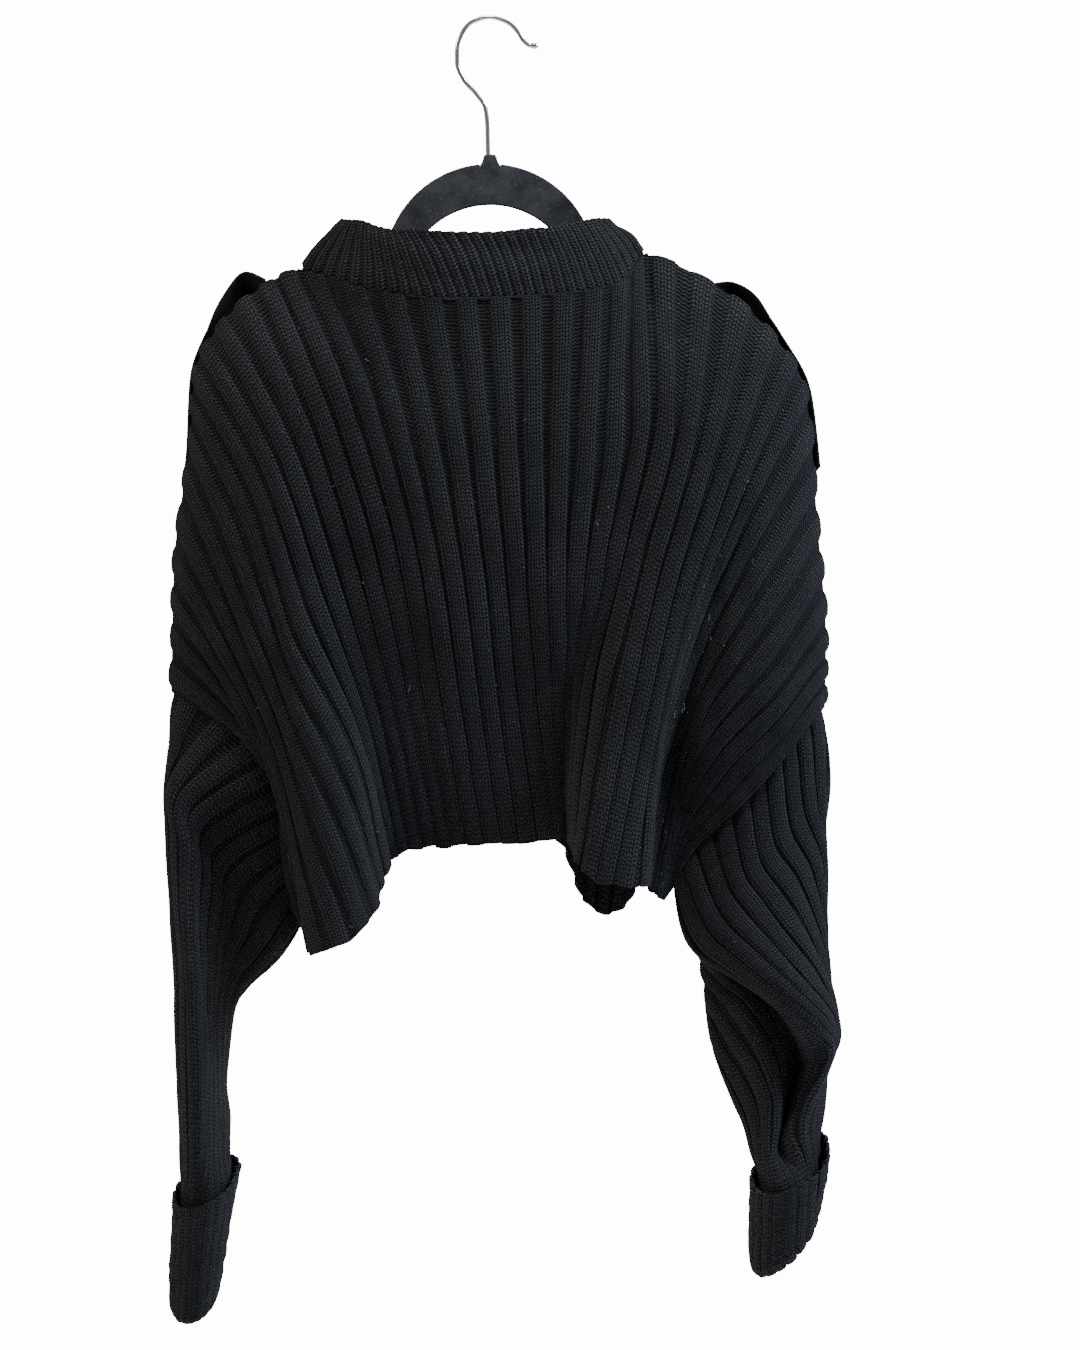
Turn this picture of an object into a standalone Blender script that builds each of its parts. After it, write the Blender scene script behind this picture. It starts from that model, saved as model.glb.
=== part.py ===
"""A cropped rib-knit sweater on a hanger, seen from its back.

Every size and table below is in millimetres, +X to the right, +Z up, and the back of
the sweater faces -Y. The origin is the inside top of the hanger's hook, where a rail
carries it. Each knitted piece is a wall over a base surface: the ribs are raised in
its outer points, and its inside is plain.
"""

import math

import bmesh
import bpy
from mathutils import Vector

MM = 0.001

# Knit
RIBS = 39  # ribs across the back, and across the front
NECK_RIBS = (14, 25)  # the ribs between which the neck lies
ROWS = 11  # steps down a panel
ARMHOLE_ROWS = 10  # the steps that the sleeve is sewn to; the last one is the side seam
INSIDE = 2.0  # from the base surface to the inside of the cloth
CREST = 1.6  # how far a rib stands out of the base surface
CROWDED_CREST = 0.24  # where ribs crowd, they stand out by no more than this share of a rib
RIB_EDGES = (0.28, 0.72)  # where a rib's flat crest starts and ends, as shares of its pitch
SEAM = 0.35  # gap between two pieces that are sewn together
SHARPEST_MITRE = 1.2  # keeps that gap's corner short where two pieces meet sharply
TWIST_ROOM = 0.6  # how much that gap widens where the seam twists by one radian
SHOULDER_ROLL = 10.0  # how far the cloth bulges just below the shoulder seam
ROLL_LENGTH = 0.035  # the share of the panel in which it does so

# Hanger
WIRE = 3.5
HOOK_TIP_BEAD = 4.8
HOOK_END_SHARE = 0.7  # the rounded end of that bead, as a share of the wire
HOOK_STEPS = 3  # straight steps between two rows of the hook's route
ARCH_RADIUS = 76.0
ARCH_CENTRE = -179.0
ARCH_OPENING_RADIUS = 62.0
ARCH_OPENING_CENTRE = -194.6
HANGER_THICKNESS = 6.4
HANGER_CHAMFER = 0.8
NUB_HALF_WIDTH = 5.5
NUB_TOP = -98.0
ARCH_START = 85.6  # the angles at which the arch and its opening start beside the nub
OPENING_START = 86.0
ARCH_STEP = 10.0  # and the steps, in degrees, by which they go round
OPENING_STEP = 6.8
ARCH_STEPS = 7

# One arm of the hanger, from the arch out to its tip and back along the bar: x, z of its
# outer edge, then x, z of the opening's edge that faces it
HANGER_ARM = [
    (78, -163, 58, -165),
    (92, -172.4, 70, -176),
    (130, -191.4, 108, -198),
    (160, -205.6, 136, -213),
    (174, -214.6, 146, -219),
    (182, -222.8, 150, -224),
    (184, -232.3, 151, -229),
    (180, -241, 148, -234),
    (170, -246, 142, -237),
    (120, -246, 115, -237),
    (60, -246, 58, -237),
    (0, -246, 0, -237),
]

# The hook's route, from the foot of its stem to its tip: x, z
HOOK_ROUTE = [
    (-1.4, -97.6),
    (-2, -74),
    (-3.5, -62.5),
    (-9, -54),
    (-18.5, -43.2),
    (-23.6, -30),
    (-23.6, -21),
    (-20.4, -10.5),
    (-12.8, -1.8),
    (0, 1.75),
    (12.1, -1.8),
    (20.2, -9),
    (24, -15),
    (28, -18.4),
    (34.5, -18.8),
]

# Shoulder seam and neck, from the left armhole to the right one: rib, x, z, out
BACK_TOP = [
    (0, -226, -480, 0),
    (3.5, -225, -386, 0),
    (6.5, -214, -298, 0),
    (8.5, -209, -253, 0),
    (10.5, -191, -218, 0),
    (12.5, -159, -190, 0),
    (14, -136, -180, 0),
    (16, -81, -195, 24),
    (18, -29, -202, 34),
    (21, 41, -199, 34),
    (23.5, 91, -190, 22),
    (25, 111, -169, 0),
    (26.5, 152, -186, 0),
    (28.5, 199, -224, 0),
    (30.5, 223, -265, 0),
    (33.5, 232, -361, 0),
    (36.5, 238, -443, 0),
    (39, 237, -491, 0),
]
FRONT_NECK = [
    (14, -136, -180, 0),
    (16, -95, -212, 26),
    (19.5, -12, -236, 40),
    (23, 75, -208, 26),
    (25, 111, -169, 0),
]

# Where the ribs pass a quarter, half and three quarters of the way down:
# rib, x at each, and how far out of the middle plane at each
BACK_BODY = [
    (0, -167, -145, -141, 16, 6, 0),
    (3.5, -188, -154, -136, 26, 27, 32),
    (5.5, -184, -151, -119, 28, 32, 46),
    (7.5, -170, -143, -103, 30, 33, 38),
    (9.5, -154, -124, -91, 33, 32, 24),
    (13.5, -102, -72, -52, 38, 34, 22),
    (17.5, -25, -11, 0, 41, 36, 24),
    (21.5, 50, 48, 50, 41, 35, 20),
    (24.5, 108, 89, 69, 40, 36, 26),
    (26.5, 141, 114, 91, 38, 38, 42),
    (29.5, 175, 141, 119, 34, 36, 38),
    (32.5, 187, 149, 128, 30, 24, 10),
    (35.5, 204, 158, 134, 26, 20, 6),
    (39, 211, 181, 145, 18, 14, 4),
]
FRONT_BODY = [
    (0, -167, -145, -141, 20, 20, 16),
    (3.5, -188, -154, -136, 30, 36, 44),
    (9, -158, -129, -94, 36, 44, 52),
    (13.5, -102, -72, -52, 38, 44, 48),
    (19, 3, 11, 16, 40, 44, 44),
    (24.5, 108, 89, 74, 38, 44, 50),
    (27.5, 153, 124, 100, 36, 44, 54),
    (32.5, 187, 149, 124, 32, 38, 40),
    (35.5, 204, 158, 134, 30, 34, 32),
    (39, 211, 181, 145, 24, 26, 20),
]

# Hems: rib, x, z, out. The back's has a fold at either side that stands out of it.
BACK_HEM = [
    (0, -122, -660, -4),
    (2, -129, -664, 20),
    (3, -127, -666, 42),
    (4.5, -105, -660, 54),
    (5.5, -91, -650, 50),
    (6.5, -82, -635, 38),
    (7.5, -79, -619, 22),
    (9.5, -69, -598, 6),
    (13.5, -33, -590, 8),
    (17.5, 14, -588, 10),
    (21.5, 57, -585, 4),
    (23.5, 60, -591, 18),
    (25.5, 64, -602, 38),
    (26.5, 71, -612, 46),
    (28.5, 94, -618, 48),
    (29.5, 109, -617, 40),
    (31, 116, -618, 22),
    (33, 118, -621, 8),
    (36, 120, -625, 3),
    (39, 122, -627, -3),
]
FRONT_HEM = [
    (0, -122, -660, 4),
    (2, -126, -656, 30),
    (5, -111, -632, 52),
    (9, -75, -597, 56),
    (13.5, -36, -585, 46),
    (19, 21, -580, 42),
    (22.5, 52, -590, 46),
    (24, 62, -615, 54),
    (25.5, 71, -635, 60),
    (27.5, 91, -641, 60),
    (28.5, 99, -626, 52),
    (30, 107, -620, 46),
    (33, 115, -623, 36),
    (36, 120, -626, 22),
    (39, 122, -627, 3),
]

# Where the side seams meet the sleeves: x, z, y
UNDERARM_LEFT = (-135, -642, 3)
UNDERARM_RIGHT = (132, -612, 0)

# Left sleeve, a row for each ring: its underarm side, the slope behind it, the ridge
# that faces out, its outer side (x, z, y each), how far back its far wall lies and how
# much higher than its sides that wall is
LEFT_SLEEVE = [
    ((-152, -661, 4), (-185, -605, -4), (-218, -558, -20), (-231, -540, 0), 32, 0),
    ((-163, -676, 8), (-193, -633, 0), (-219, -593, -26), (-232, -579, 2), 37, 0),
    ((-176, -689, 10), (-199, -658, -2), (-219, -633, -30), (-230, -618, 4), 38, 0),
    ((-184, -706, 10), (-201, -683, -8), (-216, -665, -32), (-227, -654, 4), 38, 0),
    ((-187, -733, 8), (-201, -711, -18), (-213, -700, -33), (-225, -693, 4), 38, 0),
    ((-189, -761, 6), (-200, -745, -22), (-211, -740, -33), (-224, -736, 4), 37, 2),
    ((-187, -786, 4), (-199, -778, -24), (-210, -775, -33), (-223, -772, 4), 35, 6),
    ((-188, -809, 2), (-199, -811, -24), (-209, -812, -31), (-221, -808, 2), 32, 12),
]
LEFT_SLEEVE_PLACES = (0.0, 4.0, 7.5, 10.0)  # the ribs at those four places
LEFT_FAR_PLACES = ((12.8, 0.25), (16.8, 0.78))  # ribs of the far wall, and how far across

# Right sleeve, a row for each ring: the lower edge of its upper flap, the flap's
# middle, its outer side, the left edge of the part under the flap, that part's ridge,
# the pocket beside it, the side beyond the pocket (x, z, y each), how far back its far
# wall lies and how much that wall is raised, and the ribs of the flap and of the rest.
# Past the flap's corner the edge column is the rim that stands beyond the pocket.
RIGHT_SLEEVE = [
    (
        (146, -650, -8), (192, -601, -18), (239, -550, -3), (154, -645, 20),
        (151, -648, 11), (148, -650, 1), (241, -553, 8), 36, 0, 9.6, 2.0,
    ),
    (
        (154, -665, -14), (198, -632, -24), (241, -600, -1), (150, -661, 25),
        (152, -664, 14), (156, -666, 3), (243, -603, 10), 42, 0, 8.0, 3.0,
    ),
    (
        (173, -677, -22), (207, -662, -29), (241, -647, 1), (152, -681, 21),
        (159, -682, 7), (173, -680, 5), (244, -650, 12), 46, 0, 6.5, 4.0,
    ),
    (
        (199, -695, -26), (221, -689, -31), (242, -682, 1), (154, -700, 14),
        (171, -702, -4), (195, -699, 6), (246, -684, 14), 48, 0, 5.0, 5.0,
    ),
    (
        (225, -716, -26), (236, -713, -26), (246, -709, -2), (158, -728, 12),
        (182, -729, -8), (210, -726, 5), (248, -710, 16), 50, 2, 3.5, 5.8,
    ),
    (
        (240, -733, -19), (246, -731, -13), (248, -730, -4), (165, -749, 10),
        (191, -750, -10), (220, -748, 5), (249, -728, 16), 50, 4, 2.2, 6.4,
    ),
    (
        (237, -752, -10), (241, -751, -3), (242, -749, 5), (173, -770, 8),
        (197, -769, -10), (215, -765, 6), (241, -745, 18), 48, 8, 2.2, 6.8,
    ),
    (
        (227, -774, -12), (232, -772, -7), (236, -769, 1), (181, -788, 8),
        (200, -789, -12), (210, -786, 2), (238, -765, 18), 42, 10, 2.2, 7.0,
    ),
    (
        (221, -795, -16), (226, -793, -11), (231, -789, -3), (188, -808, 5),
        (199, -810, -17), (206, -806, -7), (236, -783, 14), 34, 12, 2.2, 7.0,
    ),
]

POCKET_RIBS = 1.2  # the ribs from the pocket up under the flap's edge
FAR_WALL_SHARE = 0.55  # how far across from the beyond column the far wall's middle is
BEYOND_RIB_SHARE = 0.22  # the share of the far ribs that lies before the beyond column

# Turned-back cuffs: left and right ends of the rim and of the bottom (x, z each), how
# far the near side of each hangs below its middle, and half its depth
LEFT_CUFF = (((-225, -839), (-181, -819), 16, 36), ((-227, -919), (-196, -906), 15, 32))
RIGHT_CUFF = (((188, -827), (240, -805), 19, 36), ((189, -890), (237, -846), 18, 32))
RIGHT_CUFF_START = 0.25 * math.pi  # how far round its right end the first rib starts
CUFF_STEPS = 3
CUFF_GAP = 7.0  # from the cuff's base surface in to the sleeve's
CUFF_PLACES = (0.03, 0.5, 1.0)  # how far down a cuff the rings of the sleeve in it lie
CUFF_LIP = 8.0  # how far the fold at the bottom reaches in
LEFT_END_LIFT = 4.0  # how far above the fold at its cuff's bottom each sleeve ends
RIGHT_END_LIFT = 5.6
CUFF_DENT = 4.0  # how far the right sleeve is pressed in at its cuff's rim

# Collar top: how far in from the neck seam and how high above it, at the back and front
COLLAR_BACK = (10.0, 49.0)
COLLAR_FRONT = (8.0, 46.0)
COLLAR_LEFT = (33.0, 33.0)
COLLAR_RIGHT = (24.0, 20.0)
NECK_MIDDLE = -12.0
COLLAR_STEPS = 3
COLLAR_RIB_SHARE = 0.7  # how high the collar's ribs are beside the body's

# Shoulder tabs, on the front beside the shoulder seam: rib, lift off the cloth
LEFT_TAB = [(5.8, 1.4), (7, 2.4), (8.5, 2.9), (10, 4), (11, 7.5), (11.9, 10), (12.5, 2)]
RIGHT_TAB = [(26.7, 1.8), (27.1, 6.5), (28, 2.2), (29.5, 1.5), (31, 1.5), (32.2, 2.8)]
TAB_TOP = 0.006
TAB_WIDTH = 0.08
TAB_THICKNESS = 2.0
TAB_STEPS = 12


def slopes_of(places, values):
    """Slopes of a smooth curve that never overshoots its points."""
    steps = [b - a for a, b in zip(places, places[1:])]
    rises = [(b - a) / step for a, b, step in zip(values, values[1:], steps)]
    slopes = [rises[0]]
    for before, after, left, right in zip(rises, rises[1:], steps, steps[1:]):
        if before * after <= 0:
            slopes.append(0.0)
            continue
        near = 2 * right + left
        far = right + 2 * left
        slopes.append((near + far) / (near / before + far / after))
    slopes.append(rises[-1])
    return slopes


def read_curve(places, values, at):
    """The value at one place of the smooth curve through values."""
    slopes = slopes_of(places, values)
    at = min(max(at, places[0]), places[-1])
    index = 0
    while index < len(places) - 2 and at > places[index + 1]:
        index += 1
    step = places[index + 1] - places[index]
    t = (at - places[index]) / step
    start = (1 + 2 * t) * (1 - t) ** 2 * values[index] + t * (1 - t) ** 2 * step * slopes[index]
    end = t * t * (3 - 2 * t) * values[index + 1] + t * t * (t - 1) * step * slopes[index + 1]
    return start + end


def read_table(table, at):
    """All columns of a table at one place along its first column."""
    columns = list(zip(*table))
    return [read_curve(columns[0], column, at) for column in columns[1:]]


def panel_point(top, body, hem, facing, rib, down):
    """A point of a body panel's base surface; facing is -1 for the back, 1 for the front."""
    top_x, top_z, top_out = read_table(top, rib)
    hem_x, hem_z, hem_out = read_table(hem, rib)
    passes = read_table(body, rib)
    shoulder = min(1.0, max(0.0, NECK_RIBS[0] - rib, rib - NECK_RIBS[1]))
    roll = SHOULDER_ROLL * shoulder
    stations = (0, 0.25, 0.5, 0.75, 1)
    x = read_curve(stations, (top_x, *passes[:3], hem_x), down)
    out = read_curve(stations, (top_out + roll, *passes[3:], hem_out), down)
    out -= roll * math.exp(-down / ROLL_LENGTH)
    return Vector((x, facing * out, top_z + (hem_z - top_z) * down))


def front_top():
    """The front's upper edge: the back's shoulders with a lower neck."""
    left = [row for row in BACK_TOP if row[0] < NECK_RIBS[0]]
    right = [row for row in BACK_TOP if row[0] > NECK_RIBS[1]]
    return left + FRONT_NECK + right


def on_seam(row, rib):
    """Whether a panel's node is sewn straight to the other panel."""
    shoulder = row == 0 and not NECK_RIBS[0] < rib < NECK_RIBS[1]
    side = row >= ARMHOLE_ROWS and rib in (0, RIBS)
    return shoulder or side


def panel_nodes(top, body, hem, facing):
    """Base points and outward directions, a row for each step down and a column a rib."""
    return [
        [panel_point(top, body, hem, facing, rib, row / ROWS) for rib in range(RIBS + 1)]
        for row in range(ROWS + 1)
    ]


def panel_normals(nodes, facing):
    """Outward directions at a panel's nodes, square to the other panel where sewn to it."""
    normals = []
    for row in range(ROWS + 1):
        line = []
        for rib in range(RIBS + 1):
            across = nodes[row][min(rib + 1, RIBS)] - nodes[row][max(rib - 1, 0)]
            along = nodes[min(row + 1, ROWS)][rib] - nodes[max(row - 1, 0)][rib]
            normal = across.cross(along) * facing
            if on_seam(row, rib):
                normal.y = 0
            line.append(normal.normalized())
        normals.append(line)
    return normals


def seat_panels():
    """Nodes and normals of the back and the front, sewn together at shoulders and sides."""
    back = panel_nodes(BACK_TOP, BACK_BODY, BACK_HEM, -1)
    front = panel_nodes(front_top(), FRONT_BODY, FRONT_HEM, 1)
    for rib, underarm in ((0, UNDERARM_LEFT), (RIBS, UNDERARM_RIGHT)):
        back[ARMHOLE_ROWS][rib] = axis_order(underarm)
        for row in range(ARMHOLE_ROWS, ROWS + 1):
            front[row][rib] = back[row][rib].copy()
    back_out = panel_normals(back, -1)
    front_out = panel_normals(front, 1)
    for row in range(ROWS + 1):
        for rib in range(RIBS + 1):
            if on_seam(row, rib):
                shared = (back_out[row][rib] + front_out[row][rib]).normalized()
                back_out[row][rib] = shared
                front_out[row][rib] = shared
                back[row][rib].y -= SEAM / 2
                front[row][rib].y += SEAM / 2
    return (back, back_out), (front, front_out)


def ribbed_wall(name, nodes, normals, closed, finish, rib_share=1.0, fine_inside=False):
    """A wall over rows of nodes: ribs raised outside between them, plain inside.

    closed joins the last node of each row to the first, as on a tube. fine_inside gives
    the inside as many points as the outside, for walls that twist."""
    mesh = bmesh.new()
    outer_rows = []
    inner_rows = []
    for line, outs in zip(nodes, normals):
        spans = len(line) if closed else len(line) - 1
        outer = []
        inner = []
        for index in range(spans):
            after = (index + 1) % len(line)
            places = (0.0, *RIB_EDGES)
            pitch = (line[after] - line[index]).length
            crest = min(CREST, CROWDED_CREST * pitch) * rib_share
            for place, height in zip(places, (0.0, crest, crest)):
                base = line[index].lerp(line[after], place)
                out = outs[index].lerp(outs[after], place)
                outer.append(mesh.verts.new((base + out * height) * MM))
                if place == 0 or fine_inside:
                    inner.append(mesh.verts.new((base - out * INSIDE) * MM))
        if not closed:
            outer.append(mesh.verts.new(line[-1] * MM))
            inner.append(mesh.verts.new((line[-1] - outs[-1] * INSIDE) * MM))
        outer_rows.append(outer)
        inner_rows.append(inner)
    for rows in (outer_rows, inner_rows):
        count = len(rows[0])
        for upper, lower in zip(rows, rows[1:]):
            for index in range(count if closed else count - 1):
                after = (index + 1) % count
                corners = (upper[index], upper[after], lower[after], lower[index])
                mesh.faces.new(corners if rows is outer_rows else corners[::-1])
    close_ends(mesh, outer_rows, inner_rows, closed, fine_inside)
    bmesh.ops.recalc_face_normals(mesh, faces=mesh.faces)
    return finished(name, mesh, finish)


def close_ends(mesh, outer_rows, inner_rows, closed, fine_inside):
    """Close a wall along its first and last rows, and along its sides where it is open."""
    points = len(RIB_EDGES) + 1
    for outer, inner in ((outer_rows[0], inner_rows[0]), (outer_rows[-1], inner_rows[-1])):
        spans = len(inner) if closed else len(inner) - 1
        for index in range(spans):
            after = inner[(index + 1) % len(inner)]
            if fine_inside:
                beyond = outer[(index + 1) % len(outer)]
                mesh.faces.new((outer[index], beyond, after, inner[index]))
                continue
            first = outer[points * index : points * index + points]
            last = outer[(points * index + points) % len(outer)]
            mesh.faces.new((first[0], first[1], inner[index]))
            mesh.faces.new((first[1], first[2], after, inner[index]))
            mesh.faces.new((first[2], last, after))
    if not closed:
        for side in (0, -1):
            for row in range(len(outer_rows) - 1):
                corners = (
                    outer_rows[row][side],
                    outer_rows[row + 1][side],
                    inner_rows[row + 1][side],
                    inner_rows[row][side],
                )
                mesh.faces.new(corners)


def finished(name, mesh, finish):
    """Make the object of a mesh, in the sweater's collection."""
    data = bpy.data.meshes.new(name)
    mesh.to_mesh(data)
    mesh.free()
    piece = bpy.data.objects.new(name, data)
    sweater.objects.link(piece)
    data.materials.append(finish)
    return piece


def make_finish(name, colour, roughness, metallic=0.0):
    material = bpy.data.materials.new(name)
    material.use_nodes = True
    shader = material.node_tree.nodes["Principled BSDF"]
    shader.inputs["Base Color"].default_value = (*colour, 1)
    shader.inputs["Roughness"].default_value = roughness
    shader.inputs["Metallic"].default_value = metallic
    return material


def mitre(first, second):
    """The vector that offsets a corner between two faces by one unit from both."""
    both = first + second
    return both * (2 / max(both.length_squared, SHARPEST_MITRE))


def ring_normals(rings, turn):
    """Outward vectors at the nodes of a tube; turn is 1 or -1 with the way it winds."""
    normals = []
    count = len(rings[0])
    last = len(rings) - 1
    for row in range(len(rings)):
        line = []
        for index in range(count):
            across = rings[row][(index + 1) % count] - rings[row][index - 1]
            above = rings[max(row, 1)][index] - rings[max(row, 1) - 1][index]
            below = rings[min(row, last - 1) + 1][index] - rings[min(row, last - 1)][index]
            sides = [(across.cross(along) * turn).normalized() for along in (above, below)]
            line.append(mitre(*sides))
        normals.append(line)
    return normals


def closed_curve(stations, count):
    """Nodes 0, 1, 2 ... of a smooth closed curve through stations of (place, point)."""
    total = len(stations)

    def station(index):
        lap, index = divmod(index, total)
        place, point = stations[index]
        return place + lap * count, Vector(point)

    nodes = []
    for node in range(count):
        index = 0
        while station(index + 1)[0] <= node:
            index += 1
        (p0, v0), (p1, v1) = station(index - 1), station(index)
        (p2, v2), (p3, v3) = station(index + 1), station(index + 2)
        t = (node - p1) / (p2 - p1)
        start = (v2 - v0) * ((p2 - p1) / (p2 - p0))
        end = (v3 - v1) * ((p2 - p1) / (p3 - p1))
        point = v1 * ((1 + 2 * t) * (1 - t) ** 2) + start * (t * (1 - t) ** 2)
        nodes.append(point + v2 * (t * t * (3 - 2 * t)) + end * (t * t * (t - 1)))
    return nodes


def axis_order(place):
    """A table's (x, z, y) as a point."""
    return Vector((place[0], place[2], place[1]))


def left_sleeve_rings():
    rings = []
    for underarm, slope, ridge, outer, far, rise in LEFT_SLEEVE:
        stations = [
            (place, axis_order(point))
            for place, point in zip(LEFT_SLEEVE_PLACES, (underarm, slope, ridge, outer))
        ]
        start, end = axis_order(outer), axis_order(underarm)
        for place, share in LEFT_FAR_PLACES:
            point = start.lerp(end, share)
            point.y = far
            point.z += rise
            stations.append((place, point))
        rings.append(closed_curve(stations, 2 * ARMHOLE_ROWS))
    return rings


def right_sleeve_rings():
    rings = []
    count = 2 * ARMHOLE_ROWS
    for *places, far, rise, flap_ribs, lower_ribs in RIGHT_SLEEVE:
        edge, middle, outer, left, ridge, pocket, beyond = map(axis_order, places)
        far_wall = beyond.lerp(left, FAR_WALL_SHARE)
        far_wall.y = far
        far_wall.z += rise
        left_rib = count - lower_ribs
        beyond_rib = flap_ribs + (left_rib - flap_ribs) * BEYOND_RIB_SHARE
        stations = [
            (0.0, edge),
            (flap_ribs * 0.5, middle),
            (flap_ribs, outer),
            (beyond_rib, beyond),
            ((beyond_rib + left_rib) / 2, far_wall),
            (left_rib, left),
            (count - (lower_ribs + POCKET_RIBS) / 2, ridge),
            (count - POCKET_RIBS, pocket),
        ]
        rings.append(closed_curve(stations, count))
    return rings


def cuff_point(cuff, down, inset, angle):
    """A point of a cuff's slanted oval; angle 0 is its right end, a quarter turn its near side."""
    places = [first + (last - first) * down for first, last in zip(flat(cuff[0]), flat(cuff[1]))]
    left_x, left_z, right_x, right_z, dip, depth = places
    half = Vector(((right_x - left_x) / 2, 0, (right_z - left_z) / 2))
    centre = Vector(((right_x + left_x) / 2, 0, (right_z + left_z) / 2))
    half *= 1 - inset / half.length
    near = Vector((0, -depth, -dip)) * (1 - inset / depth)
    return centre + half * math.cos(angle) + near * math.sin(angle)


def flat(end):
    left, right, dip, depth = end
    return (*left, *right, dip, depth)


def cuff_ring(cuff, down, inset, first_angle, lift=0.0, dent=0.0):
    """A ring of a cuff, or of the sleeve in it; dent presses its near right side in."""
    count = 2 * ARMHOLE_ROWS
    way = -1 if first_angle > 0 else 1
    ring = []
    for step in range(count):
        angle = first_angle + way * step * 2 * math.pi / count
        pressed = dent * max(0.0, math.cos(angle - math.pi / 4)) ** 2
        point = cuff_point(cuff, down, inset + pressed, angle)
        ring.append(point + Vector((0, 0, lift)))
    return ring


def sew(panels, places, ends, first_ring, turn):
    """The first ring of a tube sewn to panel nodes, and the outward vectors they share.

    places holds each node's side (0 for the back), row and rib. Where the two panels
    meet, at ends, the ring lies midway between them."""
    count = len(places)
    loop = [panels[side][0][row][rib].copy() for side, row, rib in places]
    for index in ends:
        _, row, rib = places[index]
        loop[index].y = (panels[0][0][row][rib].y + panels[1][0][row][rib].y) / 2
    outs = []
    for index, (side, row, rib) in enumerate(places):
        along = loop[(index + 1) % count] - loop[index - 1]
        step = first_ring[index] - loop[index]
        tube_out = (along.cross(step) * turn).normalized()
        outs.append(mitre(panels[side][1][row][rib].normalized(), tube_out))
    smooth = []
    for index, out in enumerate(outs):
        even = (outs[index - 1] + out * 2 + outs[(index + 1) % count]) / 4
        if index in ends:
            even = Vector((out.x, 0, out.z))
        smooth.append(even)
    ring = []
    for index, (side, row, rib) in enumerate(places):
        along = loop[(index + 1) % count] - loop[index - 1]
        away = smooth[index].cross(along)
        if index in ends:
            away.y = 0
        if away.dot(first_ring[index] - loop[index]) < 0:
            away.negate()
        neighbours = (smooth[index - 1], smooth[(index + 1) % count])
        twist = max((smooth[index] - other).length for other in neighbours)
        ring.append(loop[index] + away.normalized() * (SEAM + TWIST_ROOM * twist))
        for panel in (0, 1) if index in ends else (side,):
            panels[panel][1][row][rib] = smooth[index]
    return ring, smooth


def make_sleeve(name, panels, rib, rings, cuff, first_angle, turn, lift, dent):
    places = [(0, row, rib) for row in range(ARMHOLE_ROWS, 0, -1)]
    places += [(1, row, rib) for row in range(ARMHOLE_ROWS)]
    start, start_out = sew(panels, places, (0, ARMHOLE_ROWS), rings[0], turn)
    rim, middle, end = CUFF_PLACES
    inside = [
        cuff_ring(cuff, rim, CUFF_GAP, first_angle, dent=dent),
        cuff_ring(cuff, middle, CUFF_GAP, first_angle),
        cuff_ring(cuff, end, CUFF_GAP, first_angle, lift=lift),
    ]
    rings = [start] + rings + inside
    normals = ring_normals(rings, turn)
    normals[0] = start_out
    return ribbed_wall(name, rings, normals, True, yarn, fine_inside=rib == RIBS)


def make_cuff(name, cuff, first_angle, turn):
    downs = [step / CUFF_STEPS for step in range(CUFF_STEPS + 1)]
    rings = [cuff_ring(cuff, down, 0.0, first_angle) for down in downs]
    rings.append(cuff_ring(cuff, 1.0, CUFF_LIP, first_angle))
    return ribbed_wall(name, rings, ring_normals(rings, turn), True, yarn)


def collar_ring(nodes, share):
    """A ring of the collar above the neck's nodes; share is 0 at the seam and 1 at the top."""
    count = len(nodes)
    ring = []
    for index, node in enumerate(nodes):
        angle = 2 * math.pi * index / count
        side = math.cos(angle) ** 2
        end = COLLAR_LEFT if math.cos(angle) > 0 else COLLAR_RIGHT
        middle = COLLAR_BACK if index < count / 2 else COLLAR_FRONT
        lean, rise = (middle[part] + (end[part] - middle[part]) * side for part in (0, 1))
        inward = Vector((NECK_MIDDLE - node.x, -node.y, 0)).normalized()
        ring.append(node + inward * lean * share + Vector((0, 0, rise * share)))
    return ring


def doubled(ring):
    """A ring with a node added halfway along each of its sides."""
    nodes = []
    for index, node in enumerate(ring):
        nodes += [node, node.lerp(ring[(index + 1) % len(ring)], 0.5)]
    return nodes


def make_collar(panels):
    """The collar: two ribs for each rib of the body, leaning in as it rises."""
    first, last = NECK_RIBS
    places = [(0, 0, rib) for rib in range(first, last)]
    places += [(1, 0, rib) for rib in range(last, first, -1)]
    neck = [panels[side][0][row][rib].copy() for side, row, rib in places]
    above = collar_ring(neck, 1 / COLLAR_STEPS)
    start, start_out = sew(panels, places, (0, last - first), above, 1)
    nodes = doubled(neck)
    rings = [doubled(start)]
    rings += [collar_ring(nodes, step / COLLAR_STEPS) for step in range(1, COLLAR_STEPS + 1)]
    normals = ring_normals(rings, 1)
    normals[0] = doubled(start_out)
    return ribbed_wall("collar", rings, normals, True, yarn, rib_share=COLLAR_RIB_SHARE)


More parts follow.
